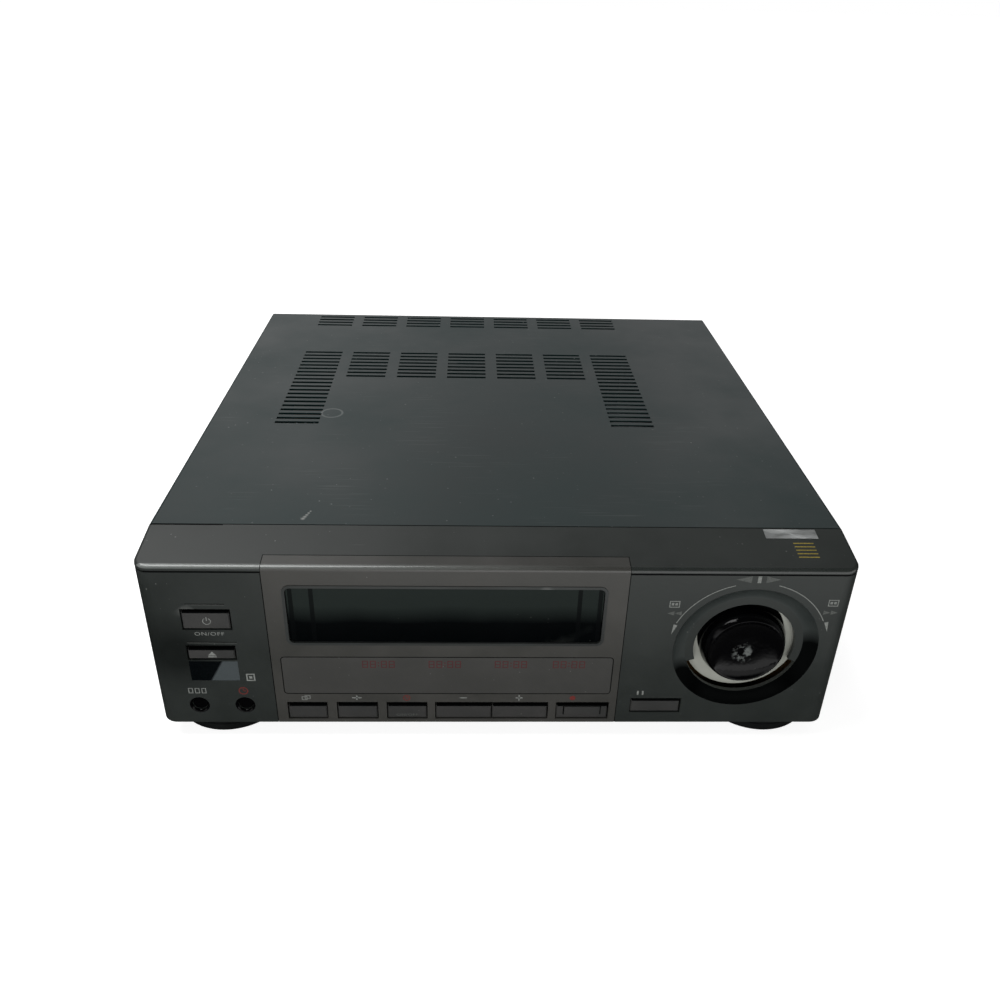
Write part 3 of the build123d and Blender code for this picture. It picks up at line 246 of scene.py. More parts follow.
# Dust: sparse small specks of different size, gathered in cloudy patches
def dustMask(tree, spot, speckMm, cover, patchMm, strength):
    cells = addNode(tree, "TexVoronoi", {"Scale": perMetre(speckMm), "Randomness": 1.0, "Vector": spot})
    parts = addNode(tree, "SeparateColor", {"Color": cells.outputs["Color"]}).outputs
    size = addNode(tree, "Math", {"operation": "MULTIPLY_ADD", 0: parts["Green"], 1: 0.12, 2: 0.06})
    speck = addNode(tree, "Math", {"operation": "LESS_THAN", 0: cells.outputs["Distance"], 1: size})
    chosen = addNode(tree, "MapRange", span(parts["Red"], 1.0 - cover, 1.0, 0.0, strength))
    both = addNode(tree, "Math", {"operation": "MULTIPLY", 0: speck, 1: chosen})
    patches = cloudMask(tree, spot, patchMm, 0.35, 0.6)
    return addNode(tree, "Math", {"operation": "MULTIPLY", "use_clamp": True, 0: both, 1: patches})


# Scratches: long thin streaks in one direction, broken up by a coarse noise
def scratchMask(tree, spot, widthMm, lengthMm, angle, cover, strength):
    scale = (perMetre(lengthMm), perMetre(widthMm), perMetre(lengthMm))
    turn = (0.0, 0.0, math.radians(angle))
    turned = addNode(tree, "Mapping", {"Rotation": turn, "Scale": scale, "Vector": spot})
    streak = addNode(tree, "TexNoise", {"Scale": 1.0, "Detail": 1.0, "Vector": turned})
    line = addNode(tree, "MapRange", span(streak, 1.0 - cover, 1.03 - cover, 0.0, strength))
    return addNode(tree, "Math", {"operation": "MULTIPLY", 0: line, 1: cloudMask(tree, spot, 60.0, 0.5, 0.6)})


def grainBump(tree, shader, spot, grainMm, strength, heightMm):
    grain = addNode(tree, "TexNoise", {"Scale": perMetre(grainMm), "Detail": 2.0, "Vector": spot})
    bump = addNode(tree, "Bump", {"Strength": strength, "Distance": heightMm / 1000, "Height": grain})
    tree.links.new(bump.outputs["Normal"], shader.inputs["Normal"])


# A round patch about a point, as a mask from its strength inside to 0 outside
def spotMask(tree, spot, centre, innerMm, outerMm, strength=1.0):
    away = addNode(tree, "VectorMath", {"operation": "DISTANCE", 0: spot, 1: centre})
    return addNode(tree, "MapRange", span(away, innerMm / 1000, outerMm / 1000, strength, 0.0))


# The rubbed top edge of the front, where hands have polished the grain smooth, and where a highlight is
# painted
def edgeMask(tree, spot, dropMm):
    parts = addNode(tree, "SeparateXYZ", {0: spot}).outputs
    low = place(0, 2.1, case["frontTop"] - dropMm)
    up = addNode(tree, "MapRange", span(parts["Z"], low.z, low.z + 0.0007))
    ahead = addNode(tree, "MapRange", span(parts["Y"], low.y, low.y + 0.0008, 1.0, 0.0))
    return addNode(tree, "Math", {"operation": "MULTIPLY", 0: up, 1: ahead})


# Satin stoved enamel on steel sheet: near black, green in cast, with a fine orange peel that spreads light
def stovedEnamel():
    look = {
        "base": "#0f2020", "worn": "#182b2b", "dust": "#8f9492", "scratch": "#5d6361", "pale": "#a9aaa6",
        "rough": 0.36, "level": 0.5, "cloudMm": 90.0, "peel": (0.9, 0.2, 0.02), "scratchMm": (0.8, 60.0),
        "scratches": ((8.0, 0.31), (77.0, 0.29), (142.0, 0.30)), "scratchHold": 0.4, "ringHold": 0.35,
        "specks": (3.4, 0.22, 70.0, 0.6), "ring": (-103.4, 168.2), "scuff": (-101.0, 38.0), "scuffHold": 0.7,
    }
    material, tree, shader, spot = startMaterial("stovedEnamelOnSteel", look)
    cloud = cloudMask(tree, spot, look["cloudMm"])
    coats = [(cloud, look["worn"]), (dustMask(tree, spot, *look["specks"]), look["dust"])]
    for angle, cover in look["scratches"]:  # drawn 0.8 mm wide so that hairlines show
        marks = scratchMask(tree, spot, *look["scratchMm"], angle, cover, look["scratchHold"])
        coats.append((marks, look["scratch"]))
    ring = place(*look["ring"], case["height"])  # left by a wet coin or screw
    outer = spotMask(tree, spot, ring, 6.8, 7.4, look["ringHold"])
    inner = spotMask(tree, spot, ring, 5.6, 6.2, look["ringHold"])
    stain = addNode(tree, "Math", {"operation": "SUBTRACT", "use_clamp": True, 0: outer, 1: inner})
    coats.append((stain, look["dust"]))
    x, y = look["scuff"]
    for step in range(5):  # a pale scuff rubbed slantwise near the front, thinner towards its end
        middle = place(x + 0.7 * step, y + 1.9 * step, case["height"])
        scuff = spotMask(tree, spot, middle, 0.3, 1.5 - 0.2 * step, look["scuffHold"])
        coats.append((scuff, look["pale"]))
    rough = addNode(tree, "MapRange", roughSpan(cloud, look, 0.04, 0.10))
    feed(tree, shader, {"Base Color": layCoats(tree, look["base"], coats), "Roughness": rough})
    grainBump(tree, shader, spot, *look["peel"])
    return material


# Styrene moulded in an etched tool: a fine even grain with a dull gloss, rubbed smooth along the top edge,
# where a pale highlight is also painted
def etchedStyrene(name, base, worn, rough, **more):
    look = {
        "base": base, "rough": rough, "level": 0.5, "dust": "#9a9c98", "dustCover": 0.14, "cloudMm": 45.0,
        "grain": (0.7, 0.15, 0.015), "scratches": (0.7, 35.0, 12.0, 0.22, 0.25), "shaded": (),
        "shadeTone": "#0f1211", "shadeHold": 0.75, "edgeHighlight": "#8d928f", "edgeHighlightX": (-0.165, 0.05, 0.8, 0.0),
        "edgeRough": 0.2, **more,
    }
    material, tree, shader, spot = startMaterial(name, look)
    cloud = cloudMask(tree, spot, look["cloudMm"])
    coats = [(cloud, worn), (dustMask(tree, spot, 2.6, look["dustCover"], 40.0, 0.5), look["dust"])]
    coats.append((scratchMask(tree, spot, *look["scratches"]), look["dust"]))
    lit = None
    for centre, inner, outer in look["shaded"]:  # shadow painted in where soft light leaves it too pale
        dim = spotMask(tree, spot, place(*centre), inner, outer, look["shadeHold"])
        coats.append((dim, look["shadeTone"]))
        rest = addNode(tree, "Math", {"operation": "SUBTRACT", 0: 1.0, 1: dim})
        lit = addNode(tree, "Math", {"operation": "MULTIPLY", 0: lit, 1: rest}) if lit else rest
    # Painted highlight: the pale reflection of the overhead light along the top edge, strong on the left and
    # gone towards the right
    across = addNode(tree, "SeparateXYZ", {0: spot}).outputs["X"]
    side = addNode(tree, "MapRange", span(across, *look["edgeHighlightX"]))
    edgeHighlightMask = addNode(tree, "Math", {"operation": "MULTIPLY", 0: edgeMask(tree, spot, 1.0), 1: side})
    coats.append((edgeHighlightMask, look["edgeHighlight"]))
    edge = edgeMask(tree, spot, 2.0)
    rough = addNode(tree, "MapRange", roughSpan(cloud, look, 0.06, 0.08))
    polish = addNode(tree, "Mix", {"data_type": "FLOAT", 0: edge, 2: rough, 3: look["edgeRough"]})
    level = addNode(tree, "MapRange", span(edge, 0.0, 1.0, look["level"]))
    if lit:
        level = addNode(tree, "Math", {"operation": "MULTIPLY", 0: level, 1: lit})
    tone = layCoats(tree, base, coats)
    feed(tree, shader, {"Base Color": tone, "Roughness": polish, "Specular IOR Level": level})
    grainBump(tree, shader, spot, *look["grain"])
    return material


# Polished clear plastic: near mirror, so dust and fine wipe marks are what the eye finds
def polishedAcrylic(name, look):
    look = {
        "dust": "#a8aaa6", "dustCover": 0.08, "hazeCover": 0.5, "cloud": (30.0, 0.4, 0.75), "ior": 1.49,
        "wipes": (0.6, 40.0, 20.0, 0.24, 0.15), **look,
    }
    material, tree, shader, spot = startMaterial(name, look)
    cloud = cloudMask(tree, spot, *look["cloud"])
    haze = addNode(tree, "MapRange", span(cloud, 0.0, 1.0, 0.0, look["hazeCover"]))
    coats = [(haze, look["haze"]), (dustMask(tree, spot, 2.2, look["dustCover"], 25.0, 0.55), look["dust"])]
    coats.append((scratchMask(tree, spot, *look["wipes"]), look["dust"]))
    rough = addNode(tree, "MapRange", roughSpan(cloud, look, 0.0, 0.1))
    tone = layCoats(tree, look["base"], coats)
    feed(tree, shader, {"Base Color": tone, "Roughness": rough})
    return material, tree, shader, spot, tone


# Zinc-plated steel: cool grey with the frosty patches of the plating bath
def zincPlate():
    look = {
        "base": "#a6a8a8", "frost": "#b2b4b4", "stain": "#8f8e8a", "rough": 0.38, "metallic": 1.0,
        "frostMm": 3.0, "stainCloud": (35.0, 0.5, 0.9),
    }
    material, tree, shader, spot = startMaterial("zincPlatedSteel", look)
    cells = addNode(tree, "TexVoronoi", {"Scale": perMetre(look["frostMm"]), "Vector": spot})
    frost = addNode(tree, "SeparateColor", {"Color": cells.outputs["Color"]}).outputs["Red"]
    coats = [(frost, look["frost"]), (cloudMask(tree, spot, *look["stainCloud"]), look["stain"])]
    rough = addNode(tree, "MapRange", roughSpan(frost, look, 0.02, 0.03))
    feed(tree, shader, {"Base Color": layCoats(tree, look["base"], coats), "Roughness": rough})
    return material


# Turned, ground or brushed metal: fine tool marks that stretch the highlights
def cutMetal(name, base, dark, rough, markMm):
    look = {
        "base": base, "rough": rough, "metallic": 1.0, "anisotropy": 0.4, "runMm": 9.0, "marks": (0.4, 0.65),
    }
    material, tree, shader, spot = startMaterial(name, look)
    run = perMetre(look["runMm"])
    stretched = addNode(tree, "Mapping", {"Scale": (run, run, perMetre(markMm)), "Vector": spot})
    marks = addNode(tree, "TexNoise", {"Scale": 1.0, "Detail": 2.0, "Vector": stretched})
    mask = addNode(tree, "MapRange", span(marks, *look["marks"]))
    varied = addNode(tree, "MapRange", roughSpan(mask, look, 0.05, 0.1))
    feed(tree, shader, {"Base Color": layCoats(tree, base, [(mask, dark)]), "Roughness": varied})
    return material


# Plain moulded plastic or rubber inside and under the case, with cloudy tone and settled dust
def mouldedPlastic(name, base, worn, rough, grainMm, **more):
    look = {
        "base": base, "rough": rough, "dust": "#8d8f8b", "cloudMm": 14.0, "specks": (2.0, 0.15, 20.0, 0.3),
        **more,
    }
    material, tree, shader, spot = startMaterial(name, look)
    cloud = cloudMask(tree, spot, look["cloudMm"])
    coats = [(cloud, worn), (dustMask(tree, spot, *look["specks"]), look["dust"])]
    varied = addNode(tree, "MapRange", roughSpan(cloud, look, 0.06, 0.08))
    feed(tree, shader, {"Base Color": layCoats(tree, base, coats), "Roughness": varied})
    grainBump(tree, shader, spot, grainMm, 0.2, 0.02)
    return material


# Lacquered phenolic paper board: brown, with copper paths and solder pads that show through the lacquer
def lacqueredBoard():
    look = {
        "base": "#5a4424", "path": "#7a6a34", "pad": "#b9b6a4", "rough": 0.3, "pathMm": 8.0, "padMm": 3.4,
        "padEdge": (0.12, 0.2, 0.8, 0.0),
    }
    material, tree, shader, spot = startMaterial("lacqueredPhenolicBoard", look)
    pattern = {"Mortar Size": 0.09, "offset": 0.37, "squash": 1.7, "squash_frequency": 3}
    paths = addNode(tree, "TexBrick", {"Scale": perMetre(look["pathMm"]), **pattern, "Vector": spot})
    spread = {"Scale": perMetre(look["padMm"]), "Randomness": 0.35}
    cells = addNode(tree, "TexVoronoi", {**spread, "Vector": spot})
    pad = addNode(tree, "MapRange", span(cells.outputs["Distance"], *look["padEdge"]))
    tone = layCoats(tree, look["path"], [(paths.outputs["Fac"], look["base"]), (pad, look["pad"])])
    feed(tree, shader, {"Base Color": tone})
    grainBump(tree, shader, spot, look["padMm"], 0.3, 0.05)
    return material


# Screen print: matte ink, thin in places so that the plastic shows through
def printInk(name, base, **more):
    look = {"base": base, "under": "#2a2d2c", "rough": 0.55, "level": 0.4, "thin": (0.9, 0.4, 0.72), **more}
    material, tree, shader, spot = startMaterial(name, look)
    thin = cloudMask(tree, spot, *look["thin"])
    worn = addNode(tree, "MapRange", span(thin, 0.0, 1.0, 0.0, 0.55))
    feed(tree, shader, {"Base Color": layCoats(tree, base, [(worn, look["under"])])})
    return material


# Smoked acrylic door: near black below, with a hazy grey band of painted light above, where the light side of
# the cassette way would show
def smokedDoor():
    look = {
        "base": "#020405", "haze": "#060809", "dust": "#4a4d4a", "dustCover": 0.05, "paintedLightBand": "#242a28",
        "rough": 0.05, "level": 0.06, "edgeZ": (66.0, 76.0), "wanderMm": 40.0, "guide": "#07090a",
        "guideX": (-103.2, -93.0, 39.4, 49.6), "guideHalf": 0.0011, "guideHold": 0.8,
    }
    material, tree, shader, spot, tone = polishedAcrylic("smokedAcrylicPane", look)
    parts = addNode(tree, "SeparateXYZ", {0: spot}).outputs
    wander = addNode(tree, "TexNoise", {"Scale": perMetre(look["wanderMm"]), "Detail": 2.0, "Vector": spot})
    height = addNode(tree, "Math", {"operation": "MULTIPLY_ADD", 0: wander, 1: 0.006, 2: parts["Z"]})
    edge = [place(0, 0, z).z + 0.003 for z in look["edgeZ"]]
    # Painted light: a paler band over the upper part of the pane, its lower edge wandering a little
    coats = [(addNode(tree, "MapRange", span(height, *edge)), look["paintedLightBand"])]
    for x in look["guideX"]:  # the cassette guides show as dark uprights
        upright = {"operation": "COMPARE", 0: parts["X"], 1: x / 1000, 2: look["guideHalf"]}
        near = addNode(tree, "Math", upright)
        faint = addNode(tree, "Math", {"operation": "MULTIPLY", 0: near, 1: look["guideHold"]})
        coats.append((faint, look["guide"]))
    feed(tree, shader, {"Base Color": layCoats(tree, tone, coats)})
    return material


# Remote-control sensor window: dark gloss on the left, and a pale slanting reflection painted on the right
def sensorPane():
    look = {
        "base": "#05080a", "haze": "#0a0e10", "paintedReflection": "#4a5052", "rough": 0.12, "level": 0.25,
        "slant": 0.55, "edgeX": -144.3, "edgeZ": 35.0,
    }
    material, tree, shader, spot, tone = polishedAcrylic("smokedSensorAcrylic", look)
    parts = addNode(tree, "SeparateXYZ", {0: spot}).outputs
    lean = look["slant"]
    slant = addNode(tree, "Math", {"operation": "MULTIPLY_ADD", 0: parts["Z"], 1: -lean, 2: parts["X"]})
    edge = (look["edgeX"] - lean * (look["edgeZ"] + case["footRise"])) / 1000
    right = addNode(tree, "MapRange", span(slant, edge - 0.0004, edge + 0.0008))
    feed(tree, shader, {"Base Color": layCoats(tree, tone, [(right, look["paintedReflection"])])})
    return material


# Polished black ABS of the knob: its bowl is dimpled, and a grey patch is painted in its middle as a broken
# highlight
def knobPlastic():
    look = {
        "base": "#020203", "haze": "#060708", "worn": "#6e7270", "rough": 0.06, "level": 0.3,
        "dimples": (5.0, 0.35, 0.5), "glintAt": (126.6, 1.7, 46.0), "glintMm": (3.0, 6.5),
        "patches": (4.0, 0.47, 0.55),
    }
    material, tree, shader, spot, tone = polishedAcrylic("polishedBlackAbs", look)
    # The worn colour here is a painted highlight, in broken patches in the middle of the bowl
    glintSpot = spotMask(tree, spot, place(*look["glintAt"]), *look["glintMm"])
    patches = cloudMask(tree, spot, *look["patches"])
    patch = addNode(tree, "Math", {"operation": "MULTIPLY", 0: glintSpot, 1: patches})
    feed(tree, shader, {"Base Color": layCoats(tree, tone, [(patch, look["worn"])])})
    grainBump(tree, shader, spot, *look["dimples"])
    return material


# Drawn glass of the display tube: clear, with the dark of the getter at one end
def drawnGlass():
    look = {"base": "#9fb0ad", "getter": "#4e5a58", "rough": 0.05, "clear": 0.7, "cloud": (20.0, 0.45, 0.7)}
    material, tree, shader, spot = startMaterial("drawnTubeGlass", look)
    coats = [(cloudMask(tree, spot, *look["cloud"]), look["getter"])]
    feed(tree, shader, {"Base Color": layCoats(tree, look["base"], coats)})
    return material


enamel = stovedEnamel()
# Painted shadow: the middle of each patch, and the radii where it starts to fade and where it is gone
leftDim = [((-162.0, 0.0, 46.0), 8.0, 28.0)]
coveDim = [
    ((129.0, 2.0, 10.0), 30.0, 41.0), ((163.0, 2.0, 38.0), 15.0, 24.0), ((95.0, 2.0, 26.0), 10.0, 17.0),
]
coveLook = {"shadeTone": "#040505", "shadeHold": 0.97, "shaded": coveDim}
ringLook = {"shadeTone": "#040404", "shadeHold": 1.0, "shaded": [((125.2, 7.4, 54.6), 22.3, 22.7)]}
ringDust = {"dust": "#3b3c38", "dustCover": 0.25}
# Colour, worn colour and roughness
bezelStyrene = etchedStyrene("etchedStyreneBezel", "#292d2b", "#303432", 0.42, shaded=leftDim)
coveStyrene = etchedStyrene("etchedStyreneCove", "#2d3231", "#353a38", 0.4, **coveLook)
panelStyrene = etchedStyrene("etchedStyrenePanel", "#3d3d3a", "#474643", 0.38, dustCover=0.10)
buttonStyrene = etchedStyrene("etchedStyreneButton", "#373837", "#424140", 0.40, dustCover=0.10)
rimPaint = etchedStyrene("satinSprayedStyrene", "#343736", "#2a2c2b", 0.34, dustCover=0.06)
ringStyrene = etchedStyrene("greySatinStyrene", "#b3b5ac", "#8c8e85", 0.45, **ringLook, **ringDust)
# Colour, worn colour, roughness and grain in millimetres
footStyrene = mouldedPlastic("mouldedStyreneFoot", "#0e1010", "#161818", 0.6, 0.8, level=0.25)
darkPlastic = mouldedPlastic("mouldedBlackPlastic", "#0e0f0f", "#171818", 0.5, 0.8)
whiteAcetal = mouldedPlastic("mouldedWhiteAcetal", "#cfccbf", "#b9b5a6", 0.4, 0.6)
yellowPlastic = mouldedPlastic("mouldedYellowPlastic", "#c9a52a", "#a98a20", 0.4, 0.6)
redPlastic = mouldedPlastic("mouldedRedPlastic", "#8e2320", "#74201d", 0.4, 0.6)
packageResin = mouldedPlastic("mouldedEpoxyResin", "#17181a", "#222326", 0.55, 0.5)
tyreRubber = mouldedPlastic("groundTyreRubber", "#161616", "#232322", 0.7, 0.4)
windingTape = mouldedPlastic("woundPolyesterTape", "#8a6a1e", "#a17f2a", 0.3, 3.0)
zinc = zincPlate()
# Colour, dark colour, roughness and the pitch of the tool marks in millimetres
turnedAlloy = cutMetal("turnedAluminium", "#c3c5c8", "#9ea1a5", 0.3, 0.5)
groundSteel = cutMetal("groundSteel", "#d0d0ce", "#a8a8a6", 0.18, 0.4)
nickel = cutMetal("nickelPlatedBrass", "#c9c3b4", "#a39d8e", 0.22, 0.6)
blackZinc = cutMetal("blackZincScrew", "#2b2c2e", "#1c1d1f", 0.35, 0.6)
brushedPlate = cutMetal("brushedAluminiumPlate", "#dcdfde", "#b4b7b6", 0.6, 0.5)
laminations = cutMetal("varnishedSiliconSteel", "#4c4d4f", "#333436", 0.5, 0.9)
board = lacqueredBoard()
knobGloss = knobPlastic()
filterLook = {"base": "#434341", "haze": "#4b4a48", "rough": 0.3, "level": 0.45, "dustCover": 0.14}
filterAcrylic = polishedAcrylic("smokedDisplayAcrylic", filterLook)[0]
doorAcrylic = smokedDoor()
sensorAcrylic = sensorPane()
tubeGlass = drawnGlass()
legendInk = printInk("screenPrintedGreyInk", "#8b8e8a")
faintInk = printInk("screenPrintedFaintInk", "#5c5f5c")
# Matt black that stands in for shade: painted shadow in seams, grooves, gaps and holes
shadowBlack = printInk("paintedShadowBlack", "#050606", under="#0d0f0f", rough=0.8, level=0.1)
redInk = printInk("screenPrintedRedInk", "#7c2f2a")
dullRedInk = printInk("screenPrintedDullRedInk", "#5a2b2c")
goldInk = printInk("screenPrintedGoldInk", "#a8953f")

finishOf = {
    "cover_paint": enamel, "bezel_plastic": bezelStyrene, "panel_plastic": panelStyrene,
    "rim_plastic": rimPaint, "smoked_plastic": doorAcrylic, "filter_plastic": filterAcrylic,
    "button_plastic": buttonStyrene, "knob_plastic": knobGloss, "ring_plastic": ringStyrene,
    "zinc_sheet": zinc, "machined_alloy": turnedAlloy, "ground_steel": groundSteel,
    "inner_plastic": darkPlastic, "white_plastic": whiteAcetal, "tube_glass": tubeGlass,
    "board_laminate": board, "black_resin": packageResin, "silicon_steel": laminations,
    "winding_tape": windingTape, "tyre_rubber": tyreRubber, "foot_plastic": footStyrene,
}
specialFinish = {name: knobGloss for name in ("counter_reset_button", "quick_timer_button")}
specialFinish["sensor_window"] = sensorAcrylic
slotOf = {row["node"]: row["material_slot"] for row in frame["record"]["subparts"]}
for name, thing in nodes.items():
    finish = specialFinish.get(name, finishOf[slotOf[name]])
    if not thing.material_slots:
        thing.data.materials.append(finish)
    for holder in thing.material_slots:
        holder.material = finish
print("stage: materials on every node")


def meshPiece(name, points, faces, material, body="case"):
    mesh = bpy.data.meshes.new(name)
    mesh.from_pydata([tuple(p) for p in points], [], faces)
    work = bmesh.new()
    work.from_mesh(mesh)
    bmesh.ops.remove_doubles(work, verts=work.verts, dist=1e-6)
    bmesh.ops.recalc_face_normals(work, faces=work.faces)
    work.to_mesh(mesh)
    work.free()
    mesh.materials.append(material)
    piece = bpy.data.objects.new(name, mesh)
    scene.collection.objects.link(piece)
    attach(piece, body)
    return piece


# Profiles of (radius, along) pairs turned round axes through their centres: "y" goes back, "z" goes up
def turnedPiece(name, profile, centres, steps, material, slot, axis="y", body="case", smoothAngle=35.0):
    points, faces = [], []
    count = len(profile)
    for x, y, z in centres:
        start = len(points)
        for step in range(steps):
            angle = 2 * math.pi * step / steps
            for radius, along in profile:
                a, b = radius * math.cos(angle), radius * math.sin(angle)
                back, up = (along, b) if axis == "y" else (b, along)
                points.append(place(x + a, y + back, z + up))
        for step in range(steps):
            here, there = start + step * count, start + (step + 1) % steps * count
            faces += [[here + i, here + i + 1, there + i + 1, there + i] for i in range(count - 1)]
    piece = meshPiece(name, points, faces, material, body)
    piece.data.shade_smooth()
    piece.data.set_sharp_from_angle(angle=math.radians(smoothAngle))
    return piece


def sidePairs(start, count):  # each point of an outline with the next one round
    return [(start + i, start + (i + 1) % count) for i in range(count)]


def prismFaces(start, count):  # two ends of this many points, and the sides between them
    ends = [list(range(start, start + count)), list(range(start + count, start + 2 * count))[::-1]]
    return ends + [[i, i + count, j + count, j] for i, j in sidePairs(start, count)]


# Flat outlines in x and z, printed on the front: each becomes a thin plate standing on depth y
def frontPlates(name, outlines, material, y=0.0, thick=0.03, body="case"):
    points, faces = [], []
    for outline in outlines:
        faces += prismFaces(len(points), len(outline))
        points += [place(x, y - thick, z) for x, z in outline] + [place(x, y, z) for x, z in outline]
    return meshPiece(name, points, faces, material, body)


def bar(x0, x1, z0, z1):
    return [(x0, z0), (x1, z0), (x1, z1), (x0, z1)]


def frameOf(x0, x1, z0, z1, wide):  # four bars that outline a box
    ends = [bar(x0, x0 + wide, z0 + wide, z1 - wide), bar(x1 - wide, x1, z0 + wide, z1 - wide)]
    return [bar(x0, x1, z0, z0 + wide), bar(x0, x1, z1 - wide, z1)] + ends


def arcStrip(centre, radius, wide, startAngle, endAngle, steps=24):  # short quads, angles from +x
    quads = []
    for i in range(steps):
        a = math.radians(startAngle + (endAngle - startAngle) * i / steps)
        b = math.radians(startAngle + (endAngle - startAngle) * (i + 1) / steps)
        inner, outer = radius - wide / 2, radius + wide / 2
        rim = ((inner, a), (outer, a), (outer, b), (inner, b))
        quads.append([(centre[0] + r * math.cos(t), centre[1] + r * math.sin(t)) for r, t in rim])
    return quads


def roundedRing(x0, x1, z0, z1, radius, wide, steps=7):  # short quads along a box outline with round corners
    left, right, low, high = x0 + radius, x1 - radius, z0 + radius, z1 - radius
    inner, outer = [], []
    for rim, reach in ((inner, radius), (outer, radius + wide)):
        for quarter, (x, z) in enumerate(((right, high), (left, high), (left, low), (right, low))):
            for i in range(steps):
                angle = math.radians(90 * quarter + 90 / (steps - 1) * i)
                rim.append((x + reach * math.cos(angle), z + reach * math.sin(angle)))
    return [[inner[i], outer[i], outer[j], inner[j]] for i, j in sidePairs(0, len(inner))]


def arrow(tip, way, long, wide):  # a solid triangle with its tip here, pointing along way in degrees
    a = math.radians(way)
    backX, backZ = tip[0] - long * math.cos(a), tip[1] - long * math.sin(a)
    sideX, sideZ = -math.sin(a) * wide / 2, math.cos(a) * wide / 2
    return [tip, (backX + sideX, backZ + sideZ), (backX - sideX, backZ - sideZ)]


# The shuttle dial: a bowled knob on its ring, in a dish with a curved wall
dial = {
    "x": 126.6, "z": 50.0, "dishRadius": 37.5, "floorRadius": 30.5, "dishDepth": 3.0, "ringOuter": 29.5,
    "ringY": 7.4, "ringWall": 1.6, "knobBase": 22.3, "knobRim": 19.7, "knobInner": 18.2, "knobFront": -2.0,
    "knobDish": 1.7, "bowlRise": 4, "shaft": 3.0, "shaftEnd": 16.7, "steps": 128,
}
dialCentre = (dial["x"], 0.0, dial["z"])
inner, rim, base = dial["knobInner"], dial["knobRim"], dial["knobBase"]
front, floorY, seat = dial["knobFront"], dial["knobDish"], dial["ringY"]
bowl = [t / 12 for t in range(1, 13)]  # shares of the way out: the bowl is steep only near its rim
deep = floorY - front - 0.6
profile = [(0.0, floorY)] + [(inner * t, floorY - deep * t ** dial["bowlRise"]) for t in bowl]
profile += [(inner + 0.3, front + 0.2), (inner + 0.75, front), (rim - 0.45, front + 0.05), (rim, front + 0.5)]
profile += [(base - 1.3, 1.6), (base - 0.3, 4.4), (base, 5.4), (base, seat), (0.0, seat)]
onDial = {"slot": "knob_plastic", "body": "shuttle_dial"}
knob = turnedPiece("shuttleKnobCap", profile, [dialCentre], dial["steps"], knobGloss, **onDial)
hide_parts("shuttle_knob")

outer, back = dial["ringOuter"], seat + dial["ringWall"]
profile = [(0.0, seat), (outer - 0.6, seat), (outer - 0.15, seat + 0.2), (outer, seat + 0.6), (outer, back)]
profile += [(dial["shaft"], back), (dial["shaft"], dial["shaftEnd"]), (0.0, dial["shaftEnd"])]
onDial["slot"] = "ring_plastic"
ring = turnedPiece("shuttleRingDisc", profile, [dialCentre], dial["steps"], ringStyrene, **onDial)
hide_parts("shuttle_ring")

wallReach, depth = dial["dishRadius"] - dial["floorRadius"], dial["dishDepth"]
coveRadius = (wallReach ** 2 + depth ** 2) / (2 * depth)
profile = []
for i in range(15):  # the dish's wall curves in from a crisp edge to its flat floor
    r = dial["dishRadius"] + 0.02 - wallReach * i / 14
    sag = math.sqrt(max(0.0, coveRadius ** 2 - (r - dial["floorRadius"]) ** 2))
    profile.append((r, depth - coveRadius + sag - 0.03))
softSkin = {"slot": "bezel_plastic", "smoothAngle": 60.0}
turnedPiece("dialDishCove", profile, [dialCentre], dial["steps"], coveStyrene, **softSkin)

# Thin black plates that stand in for deep shadow: the step over each sunk cap, the seams and the groove
# under the front's lip. Each cap has its drop below the hole's edge and the depth of the wall round it.
shade = {
    "gap": 0.3, "lip": 1.2, "sheet": 0.03, "seamThick": 0.02, "seamX": ((-116.35, -115.95), (63.0, 63.4)),
    "seamZ": (0.4, 95.6), "groove": (-171.5, 171.5, 95.62, 96.58), "recordBar": (35.0, 55.3, 5.0, 11.7, 0.65),
    "grooveY": 0.22, "capY": 0.4,
}
caps = {"power_button": (2.4, 2.5), "eject_button": (3.0, 2.5), "pause_button": (1.8, 2.5)}
for name in ("synchro_edit", "edit", "timer_record", "channel_down", "channel_up", "record"):
    caps[name + "_button"] = (2.8, 2.2)
fromFrame = Vector((0.0, case["backShift"] / 1000, -case["footRise"] / 1000))
for name, (drop, wallDepth) in caps.items():  # over the cap's chamfer and top, then up its lip
    low, high = [(Vector(corner) + fromFrame) * 1000 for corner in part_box(name)]
    top, face, roof = high.z - shade["lip"] - drop + 0.03, wallDepth + shade["gap"] - 0.02, high.z - 0.1
    inside = face - shade["sheet"]
    shape = [(0.42, top - 0.5), (0.92, top), (face, top), (face, roof), (inside, roof), (inside, top + 0.03)]
    shape += [(0.91, top + 0.03), (0.38, top - 0.48)]
    points = [place(x, y, z) for x in (low.x + 0.5, high.x - 0.1) for y, z in shape]
    first, *others = name.split("_")
    pieceName = first + "".join(map(str.capitalize, others)) + "Shade"
    meshPiece(pieceName, points, prismFaces(0, len(shape)), shadowBlack, body=name)
outline = frameOf(*shade["recordBar"])  # the record button's bar stands in its own dark outline
frontPlates("recordBarOutline", outline, shadowBlack, shade["capY"], shade["seamThick"], "record_button")
seams = [bar(*ends, *shade["seamZ"]) for ends in shade["seamX"]]  # down both sides of the centre panel
frontPlates("panelSeamLines", seams, shadowBlack, thick=shade["seamThick"])
frontPlates("lipShadowLine", [bar(*shade["groove"])], shadowBlack, shade["grooveY"])

